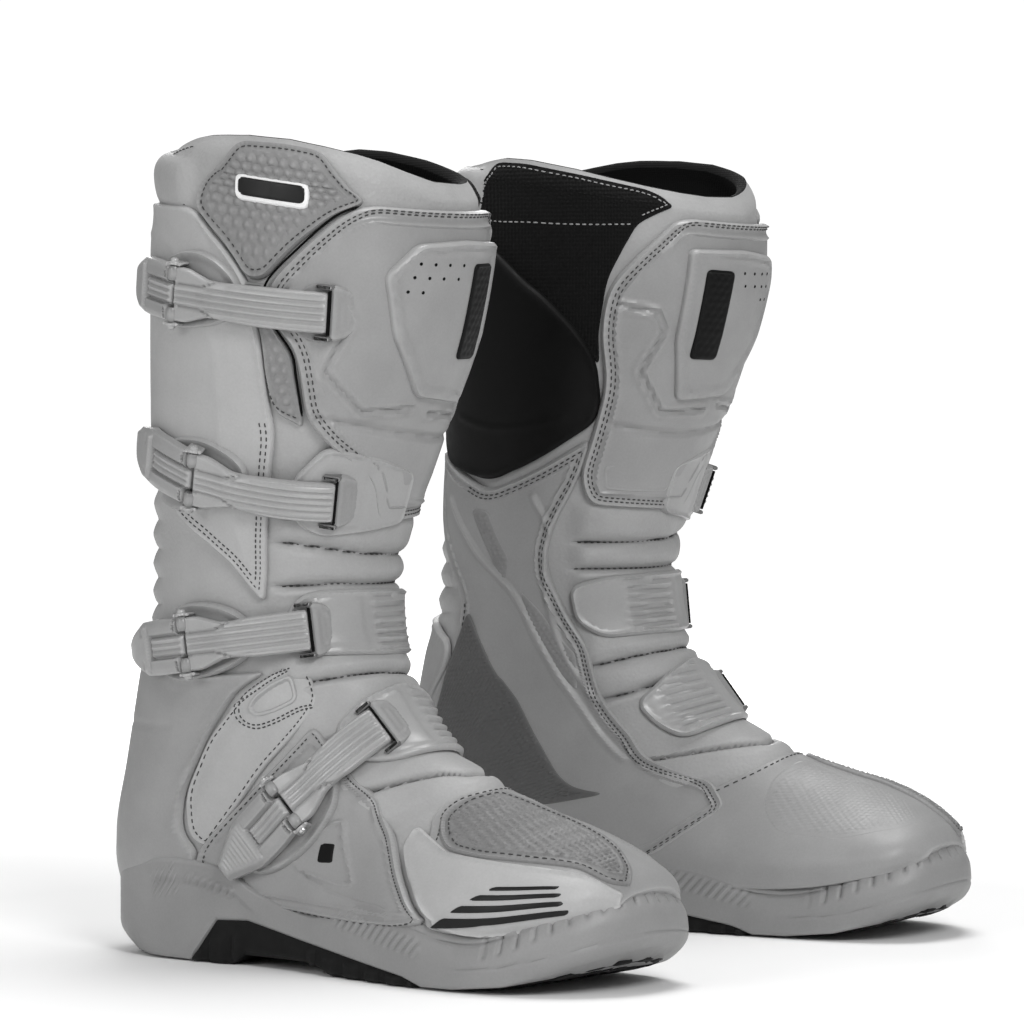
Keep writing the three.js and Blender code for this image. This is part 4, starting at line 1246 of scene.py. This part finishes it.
def outsole():
    """The black tread: a heel block, an arch strip and lugs under the ball."""
    wall = Wall(1.6)
    along = wall.ring[:, 0]
    hidden = 9 * smoothstep(66, 60, along) + 12 * smoothstep(210, 220, along)
    ring = wall.ring - wall.normal * (.6 + hidden)[:, None]
    x = ring[:, 0]
    top = np.maximum(profile(SHELL_BOTTOM, along) + 1.5, profile(OUTSOLE_BOTTOM, x) + 3.0)
    bottom = profile(OUTSOLE_BOTTOM, x)
    around = np.concatenate([[0], np.cumsum(np.linalg.norm(np.diff(ring, axis=0), axis=1))])
    rows = []
    for v in np.linspace(0, 1, 9):
        z = bottom + (top - bottom) * v
        lugs = 1.6 * smoothstep(.75, .55, v) * (smoothstep(.3, .6, waves(around, 15, .8)))
        lugs = lugs * (1 - smoothstep(92, 96, x) * smoothstep(142, 138, x))
        out = lugs - 1.6 * (v < .01)
        rows.append(np.column_stack([ring + (out - .8)[:, None] * wall.normal, z]))
    rings = np.array(rows)
    count = len(ring)
    i, j = np.meshgrid(np.arange(len(rings) - 1), np.arange(count), indexing="ij")
    k = (j + 1) % count
    quads = np.stack([i * count + j, i * count + k, (i + 1) * count + k, (i + 1) * count + j], -1)

    def tread(points):
        z = profile(OUTSOLE_BOTTOM, points[:, 0])
        across = smoothstep(.35, .6, waves(points[:, 0] + .35 * np.abs(points[:, 1]), 15))
        split = hump(points[:, 1], 1, 2.4)
        flatness = smoothstep(100, 88, points[:, 0]) + smoothstep(150, 160, points[:, 0])
        return z + 2.6 * np.clip(1 - across + split, 0, 1) * np.clip(flatness, 0, 1)
    flat = rings[0][:, :2]
    points, faces, where = triangulated(flat, grid_inside(flat, 2.6, 1.6))
    under = np.column_stack([points, tread(points)]), faces, where
    over = capped(rings[-1], lambda p: profile(SHELL_BOTTOM, p[:, 0]) + 2.5)
    shape = joined_caps(rings.reshape(-1, 3), quads.reshape(-1, 4),
                        [(over, (len(rings) - 1) * count, False), (under, 0, True)])
    piece("outsole", shape, "rubber", "foot", ("outsole",), sharp=35)


def toe_bars():
    """A generic graphic on the toe's outer side: a row of slanted bars of shrinking length."""
    bars = []
    for number, (angle, width) in enumerate(((86, 6.6), (76.5, 5.6), (68.5, 4.6), (62, 3.6))):
        start, end = 14.25 + .1 * number, 16.05 - .16 * number
        outline = [(angle, start), (angle + width, start - .08), (angle + width - 7, end), (angle - 7, end)]
        bars.append(Plate(outline, 3.7, 1.0, edge=.4, step=2.4, corner=.8).shape)
    piece("toe_bars", merged(bars), "emblem", "foot")


def insole():
    outline = [(152, 10.3), (180, 9.9), (208, 10.3), (218, 11), (220, 13), (216, 15), (180, 15.5),
               (144, 15), (140, 13), (142, 11)]
    plate = Plate(outline, -9.6, 2.4, edge=1.2, step=5, corner=10)
    piece("insole", plate.shape, "lining", "foot", ("insole",))


# ---- Buckles --------------------------------------------------------------------------------------------

BUCKLES = {
    1: {"pivot": (100.5, 1.8), "keeper": (46, 1.86), "tip": 139, "droop": 3.2, "body": "shaft"},
    2: {"pivot": (90.5, 3.78), "keeper": (30, 4.0), "tip": 138, "droop": 3.2, "body": "shaft"},
    3: {"pivot": (91.5, 6.25), "keeper": (38, 6.1), "tip": 136, "droop": 3.2, "body": "foot"},
    4: {"pivot": (60, 9.75), "keeper": (22, 8.55), "tip": 85, "droop": .8, "body": "foot"},
}
PIVOT_LIFT, STRAP_LIFT, STRAP_BOW = 12.0, 9.0, 1.2
LEVER_LIFT = 10.6


class Plane:
    """The upright plane a buckle works in. u runs from the pivot to the keeper, v outwards, w along
    the hinge."""

    def __init__(self, number):
        buckle = BUCKLES[number]
        self.number, self.buckle = number, buckle
        pivot, keeper = map(np.array, buckle["pivot"]), map(np.array, buckle["keeper"])
        outwards = skin_normal(*pivot, False) + skin_normal(*keeper, False)
        self.origin = lifted(*buckle["pivot"], PIVOT_LIFT, False)
        along = unit(lifted(*buckle["keeper"], STRAP_LIFT, False) - self.origin)
        self.w = np.cross(along, unit(outwards - (outwards @ along) * along))
        self.end = self.point(*buckle["keeper"], STRAP_LIFT)
        self.u = unit(self.end - self.origin)
        self.v = np.cross(self.w, self.u)

    def point(self, angle, station, lift):
        """The place over the skin at `angle` that lies in the plane."""
        low, high = station - 1.6, station + 1.6

        def off(s):
            return (lifted(angle, s, lift) - self.origin) @ self.w
        for _ in range(24):
            middle = (low + high) / 2
            if off(low) * off(middle) <= 0:
                high = middle
            else:
                low = middle
        return lifted(angle, (low + high) / 2, lift)

    def ribbon(self, points, flip):
        """A band through the points. Its x axis runs along them and its lift is outwards."""
        centre = resampled(spline(points, closed=False), 1.5, closed=False)
        tangent = unit(np.gradient(centre, axis=0))
        across = -self.w if flip else self.w
        normal = unit(np.cross(tangent, across))
        return Ribbon(centre, normal, across)

    def strap_ribbon(self):
        (pa, ps), (ka, ks) = self.buckle["pivot"], self.buckle["keeper"]
        points = [self.origin]
        for t in (.15, .3, .45, .6, .75, .9):
            rise = STRAP_LIFT + STRAP_BOW * (1 - t) ** 2
            points.append(self.point(pa + (ka - pa) * t, ps + (ks - ps) * t, rise))
        return self.ribbon(np.array(points + [self.end]), True)

    def lever_ribbon(self):
        angle, station = self.buckle["pivot"]
        points = [self.origin]
        for t in (.25, .5, .75, 1):
            lift = LEVER_LIFT - self.buckle["droop"] * t
            points.append(self.point(angle + (self.buckle["tip"] - angle) * t, station, lift))
        return self.ribbon(np.array(points), False)


def strap(plane):
    """A ribbed strap that narrows and opens into two smooth arms round the lever's pin."""
    ribbon = plane.strap_ribbon()
    length = ribbon.along[-1]
    half = [(length + .8, 9.6), (length * .6, 9.5), (27, 8.6), (20, 8.8), (13, 11.0), (8, 12.6),
            (1, 12.9), (-2.4, 12.2), (-2.4, 8.0), (1.2, 7.0)]
    outline = half + [(x, -y) for x, y in half[::-1]]

    def ribs(plate, flat, away):
        x, y = flat[:, 0], np.abs(flat[:, 1])
        width = 5.0 + 5.0 * smoothstep(16, 34, x)
        band = smoothstep(width + .5, width - .5, y)
        ridges = 1.0 * waves(flat[:, 1], 3.1, 1.3) * smoothstep(.6, 1.6, away)
        groove = -1.1 * hump(y, width + .3, .9) * smoothstep(34, 26, x)
        return band * (.6 * smoothstep(34, 24, x) + ridges) + groove
    plate = Plate(outline, -1.8, 3.0, edge=1.0, step=.9, corner=2.0, relief=ribs, surface=ribbon, fine=1.1)
    name = f"strap_{plane.number}"
    knuckles = [knuckle(plane, ribbon, sign * 9.7, 2.9, 6.6) for sign in (1, -1)]
    piece(name, merged([plate.shape] + knuckles), "strap", name, (name,), sharp=38)


def knuckle(plane, ribbon, across, radius, width):
    centre = plane.origin + across * ribbon.across
    ends = np.linspace(-.5, .5, 7) * width
    middle = centre + ends[:, None] * ribbon.across
    turn = np.linspace(0, 2 * math.pi, 18, endpoint=False)
    circle = np.stack([np.cos(turn), np.sin(turn)], -1)
    scale = radius * np.array([.75, .95, 1, 1, 1, .95, .75])
    normal = np.repeat(ribbon.normal[:1], 7, 0)
    side = np.cross(np.repeat(ribbon.across[None], 7, 0), normal)
    return swept(middle, normal, side, scale[:, None, None] * circle[None])


def screw(centre, normal, across):
    """A small domed screw with a cross slot."""
    normal = unit(normal)
    other = np.cross(normal, across)
    head = turned_disc(centre + 1.0 * normal, normal, across, other, 2.0, 1.0)
    bars = [block(centre + 2.05 * normal, [across, other, normal], (1.1, .28, .16), .05),
            block(centre + 2.05 * normal, [across, other, normal], (.28, 1.1, .16), .05)]
    return merged([head] + bars)


def turned_disc(centre, normal, across, other, radius, thick, sides=16):
    turn = np.linspace(0, 2 * math.pi, sides, endpoint=False)
    rings = []
    for scale, rise in ((1, -1.0), (1, .1), (.86, .7), (.5, 1.0)):
        ring = centre + radius * scale * (np.cos(turn)[:, None] * across + np.sin(turn)[:, None] * other)
        rings.append(ring + normal * thick * rise)
    points = np.vstack(rings)
    i, j = np.meshgrid(np.arange(3), np.arange(sides), indexing="ij")
    k = (j + 1) % sides
    quads = np.stack([i * sides + j, i * sides + k, (i + 1) * sides + k, (i + 1) * sides + j], -1)
    ends = np.array([range(sides)])
    if np.cross(across, other) @ normal < 0:
        quads, ends = quads[..., ::-1], ends[:, ::-1]
    return points, [quads.reshape(-1, 4), ends[:, ::-1], ends + 3 * sides]


def lever(plane):
    """The lever: a frame with a channel for the strap's ribbed tail, and a six-sided finger plate."""
    ribbon = plane.lever_ribbon()
    length = ribbon.along[-1]
    split = length * .52
    half = [(1.5, 5.6), (4.2, 5.6), (4.2, 13.0), (length * .36, 13.4), (length * .62, 13.0),
            (length + 1.5, 5.2)]
    outline = half + [(x, -y) for x, y in half[::-1]]
    name = f"lever_{plane.number}"

    def relief(plate, flat, away):
        x, y = flat[:, 0], np.abs(flat[:, 1])
        channel = smoothstep(6.0, 5.3, y) * smoothstep(split, split - .9, x)
        wide = 13.2 - 7.6 * np.clip((x - length * .62) / (length * .38), 0, 1)
        bevel = smoothstep(.6, 3.4, np.minimum(wide - y, length + 1.5 - x))
        tip = smoothstep(split + .2, split + 1.2, x) * bevel
        height = -2.2 * channel + 1.5 * tip - .9 * smoothstep(3.4, 0, wide - y) * (1 - channel)
        slot = smoothstep(1.0, .4, np.abs(x - 5.9)) * smoothstep(2.6, 2.0, np.abs(y - 9.6))
        height -= 2.0 * slot
        if plane.number == 4:
            height += .5 * tip * waves(x, 2.3) * smoothstep(3.4, 4.4, away)
        else:
            notch = smoothstep(1.2, .5, np.abs(x - split - 4.5)) * smoothstep(11, 10, y)
            height -= .5 * notch * smoothstep(5.5, 6.5, y)
        return height
    plate = Plate(outline, -3.0, 5.2, edge=.9, step=.9, corner=1.0, relief=relief, surface=ribbon,
                  fine=1.0)
    piece(name, plate.shape, "buckle", name, (name,), sharp=34)
    tail = [(.5, -4.6), (split - 1.2, -4.6), (split - 1.2, 4.6), (.5, 4.6)]
    ribs = Plate(tail, -.4, 1.6, edge=.7, step=.85, corner=.8, surface=ribbon, fine=1.1,
                 relief=lambda plate, flat, away: .9 * waves(flat[:, 1], 3.1, 1.3) * smoothstep(.4, 1.2, away))
    piece(f"{name}_tail", ribs.shape, "strap", name)


BRACKET_SHAPES = {
    1: [(115, 1.6), (106, 1.42), (93, 1.37), (82, 1.55), (78, 1.78), (82, 2.0), (92, 2.13), (107, 2.14),
        (115, 1.95)],
    2: [(114, 3.5), (102, 3.34), (88, 3.32), (73, 3.5), (68, 3.74), (74, 4.02), (86, 4.2), (102, 4.24),
        (113, 4.05)],
    3: [(106, 5.75), (92, 5.58), (76, 5.66), (65, 5.95), (64, 6.3), (72, 6.66), (88, 6.86), (103, 6.8),
        (108, 6.3)],
    4: [(43, 9.15), (50, 8.95), (61, 9.3), (74, 10.1), (84, 10.85), (82, 11.15), (72, 11.1), (60, 10.75),
        (48, 10.1)],
}


def bracket(plane):
    """The oval base plate under the buckle, with two ears that take the pin's ends."""
    number = plane.number
    name = f"bracket_{number}"
    base = 1.4 if number == 3 else 2.6

    def relief(plate, flat, away):
        return .9 * hump(away, 1.6, 1.0) - 1.2 * smoothstep(3.0, 4.6, away)
    plate = Plate(BRACKET_SHAPES[number], base, 3.8, edge=1.4, step=1.5, curve=True, relief=relief)
    ears = []
    for sign in (1, -1):
        middle = plane.origin + sign * 14.1 * plane.w - 4.2 * plane.v
        ears.append(block(middle, [plane.u, plane.w, plane.v], (4.2, .8, 6.0), .8))
        cap = turned_disc(plane.origin + sign * 14.6 * plane.w, sign * plane.w, plane.u, plane.v, 2.7, .8)
        ears.append(cap)
    riding = plane.buckle["body"]
    piece(name, merged([plate.shape] + ears), "buckle", riding, (name,), sharp=38)
    screws = []
    for sign in (1, -1):
        centre = plane.origin + sign * 14.7 * plane.w
        screws.append(screw(centre, sign * plane.w, plane.u))
    piece(f"{name}_screws", merged(screws), "steel" if number == 4 else "buckle", riding)


KEEPER_SHAPES = {
    1: ([(36, 1.62), (46, 1.5), (56, 1.58), (59, 1.86), (56, 2.14), (46, 2.22), (37, 2.1)], 2.6, 3.2),
    2: ([(49, 3.76), (36, 3.32), (10, 3.42), (-12, 3.6), (-12, 4.3), (10, 4.42), (31, 4.5), (42, 4.36),
         (49, 4.1)], 2.4, 2.8),
    3: ([(48, 5.75), (38, 5.42), (27, 5.36), (-10, 5.38), (-40, 5.42), (-60, 5.6), (-58, 6.3),
         (-46, 6.72), (0, 6.78), (35, 6.65), (47, 6.35)], 3.0, 2.2),
    4: ([(39, 8.3), (24, 7.8), (-2, 7.5), (-24, 7.85), (-42, 8.35), (-37, 9.2), (-32, 9.75), (5, 9.62),
         (25, 9.6), (37, 9.2)], 3.0, 2.4),
}
PAD_ENDS = {1: (37, 59), 2: (16, 49), 3: (10, 48), 4: (5, 39)}


def keeper(plane):
    """The plate or ribbed band that holds the strap's front end in a slot."""
    number = plane.number
    outline, base, thick = KEEPER_SHAPES[number]
    name = f"keeper_{number}"
    pad_from, pad_to = PAD_ENDS[number]
    slot_angle, slot_station = plane.buckle["keeper"]

    def relief(plate, flat, away):
        angle = flat[:, 0] / plate.surface.scale[0]
        on_pad = smoothstep(pad_from - 3, pad_from, angle)
        height = on_pad * (.6 * hump(away, 1.6, .9) + .7 * smoothstep(3.4, 4.6, away))
        height += .8 * hump(away, 1.3, .9) * (1 - on_pad)
        if number in (3, 4):
            ribbed = (1 - on_pad) * smoothstep(-34, -27, angle) * smoothstep(pad_from - 5, pad_from - 10, angle)
            wobble = .5 * np.sin(angle / 7)
            height += ribbed * 1.7 * (waves(flat[:, 1] + wobble, 5.0, 1.2) - .3) * smoothstep(2.2, 3.6, away)
        return height
    plate = Plate(outline, base, thick, edge=1.5, step=1.5, corner=6, relief=relief)
    riding = plane.buckle["body"]
    piece(name, plate.shape, "matte" if number == 1 else "strap", riding, (name,))
    lugs = []
    for sign in (1, -1):
        middle = plane.end + sign * 12.0 * plane.w - 2.4 * plane.v - 1.6 * plane.u
        lugs.append(block(middle, [plane.u, plane.w, plane.v], (4.4, 1.1, 3.6), .9))
    piece(f"{name}_lugs", merged(lugs), "moulded", riding)
    tongue(plane, base + thick, riding)
    # Painted shade: a near-black block set in the strap's slot, standing in for the shade inside it.
    slot_shade = block(plane.end - 1.6 * plane.v + 1.2 * plane.u, [plane.u, plane.w, plane.v], (.4, 10.4, 2.4), .2)
    piece(f"{name}_slot", slot_shade, "recess", riding)


def tongue(plane, pad_top, riding):
    """The raised front of the keeper, level with the strap at the slot and sloping down ahead of it."""
    angle, station = plane.buckle["keeper"]
    reach = {1: 10.5, 2: 13, 3: 13, 4: 13}[plane.number]
    points = [plane.end + 1.7 * plane.u - .8 * plane.v]
    for t, rise in ((.35, .75), (.7, .35), (1, 0)):
        points.append(plane.point(angle - 1.6 - (reach - 1.6) * t, station, pad_top + rise * (8.4 - pad_top)))
    ribbon = plane.ribbon(np.array(points), True)
    length = ribbon.along[-1]
    half = [(length + 1.5, 7.0), (length * .85, 11.0), (length * .35, 13.0), (0, 13.2)]
    outline = half + [(x, -y) for x, y in half[::-1]]

    def relief(plate, flat, away):
        return .45 * hump(away, 3.4, .7) - .3 * hump(away, 5.2, .8)
    plate = Plate(outline, -4.4, 4.6, edge=1.5, step=1.2, corner=2.4, relief=relief, surface=ribbon)
    piece(f"keeper_{plane.number}_tongue", plate.shape, "moulded", riding)


# ---- Stage ----------------------------------------------------------------------------------------------

VIEW_TURN = math.radians(35)
VIEW_HEIGHT, VIEW_DISTANCE = .282, 2.42
FOCAL = 4950
AIM_RIGHT, AIM_DOWN = 48, 145
PICTURE, SENSOR = 1024, 36.0
LINED_UP = Vector((.0094, 0, 0))


def camera():
    data = bpy.data.cameras.new("camera")
    data.sensor_width = SENSOR
    data.lens = FOCAL / PICTURE * SENSOR
    data.clip_end = 50
    obj = bpy.data.objects.new("camera", data)
    bpy.context.scene.collection.objects.link(obj)
    forward = Vector((-math.sin(VIEW_TURN), math.cos(VIEW_TURN), 0))
    right = Vector((math.cos(VIEW_TURN), math.sin(VIEW_TURN), 0))
    obj.location = LINED_UP - forward * VIEW_DISTANCE + Vector((0, 0, VIEW_HEIGHT))
    aim = forward * FOCAL - right * AIM_RIGHT - Vector((0, 0, AIM_DOWN))
    obj.rotation_euler = aim.to_track_quat("-Z", "Y").to_euler()
    bpy.context.scene.camera = obj


def area_light(name, place, target, size, power):
    data = bpy.data.lights.new(name, "AREA")
    data.shape = "DISK"
    data.size = size
    data.energy = power
    obj = bpy.data.objects.new(name, data)
    obj.location = place
    obj.rotation_euler = (Vector(target) - Vector(place)).to_track_quat("-Z", "Y").to_euler()
    bpy.context.scene.collection.objects.link(obj)


ROOM_LIGHT = .31


def stage():
    """A pale floor that fades into a white room, and four soft lights."""
    nodes = Nodes("floor")
    mottle = nodes.ramp(nodes.noise(3, 2), .3, .7, .86, .88)
    nodes.set(nodes.shader.inputs["Base Color"],
              nodes.add("ShaderNodeCombineColor", {0: mottle, 1: mottle, 2: mottle}).outputs[0])
    nodes.set(nodes.shader.inputs["Roughness"], .9)
    far = nodes.add("ShaderNodeVectorMath", {0: nodes.place}, operation="LENGTH").outputs["Value"]
    nodes.set(nodes.shader.inputs["Emission Color"], grey(1))
    glow = nodes.ramp(far, .35, 1.6, 0.0, .8)
    seen = nodes.add("ShaderNodeLightPath").outputs["Is Camera Ray"]
    shown = nodes.add("ShaderNodeMath", {0: glow, 1: seen}, operation="MULTIPLY").outputs[0]
    nodes.set(nodes.shader.inputs["Emission Strength"], shown)
    size = 9.0
    points = np.array([(-size, -size, -.0004), (size, -size, -.0004), (size, size, -.0004), (-size, size, -.0004)])
    to_object("floor", points, [np.array([(0, 1, 2, 3)])], [nodes.material])
    world = bpy.data.worlds.new("studio")
    world.use_nodes = True
    background = world.node_tree.nodes["Background"]
    background.inputs["Color"].default_value = grey(1)
    path = world.node_tree.nodes.new("ShaderNodeLightPath")
    strength = world.node_tree.nodes.new("ShaderNodeMapRange")
    strength.inputs["To Min"].default_value = ROOM_LIGHT
    strength.inputs["To Max"].default_value = 1.05
    world.node_tree.links.new(path.outputs["Is Camera Ray"], strength.inputs["Value"])
    world.node_tree.links.new(strength.outputs["Result"], background.inputs["Strength"])
    bpy.context.scene.world = world
    bpy.context.scene.view_settings.view_transform = "Standard"
    centre = (0, 0, .18)
    area_light("key", (1.8, -1.3, 1.5), centre, .9, 30)
    area_light("fill", (-.5, -2.4, 1.0), centre, 1.3, 15)
    area_light("top", (.1, .2, 2.3), centre, 1.2, 30)
    area_light("rim", (-1.5, 1.8, 1.3), centre, 1.2, 14)


# ---- Everything together --------------------------------------------------------------------------------

def build():
    make_materials()
    boot_upper()
    collar_patch()
    collar_trim()
    shin_plate()
    calf_plate()
    medial_shaft()
    medial_panel()
    heel_counter()
    ankle_patch()
    side_guard()
    toe()
    sole_shell()
    outsole()
    insole()
    for number in BUCKLES:
        plane = Plane(number)
        bracket(plane)
        keeper(plane)
        strap(plane)
        lever(plane)
    for seam in RIB_SEAMS:
        sew_skin(seam, "dark_thread", "bend", -.3, length=1.8, gap=1.6)
    sew_all()


build()
stage()
camera()
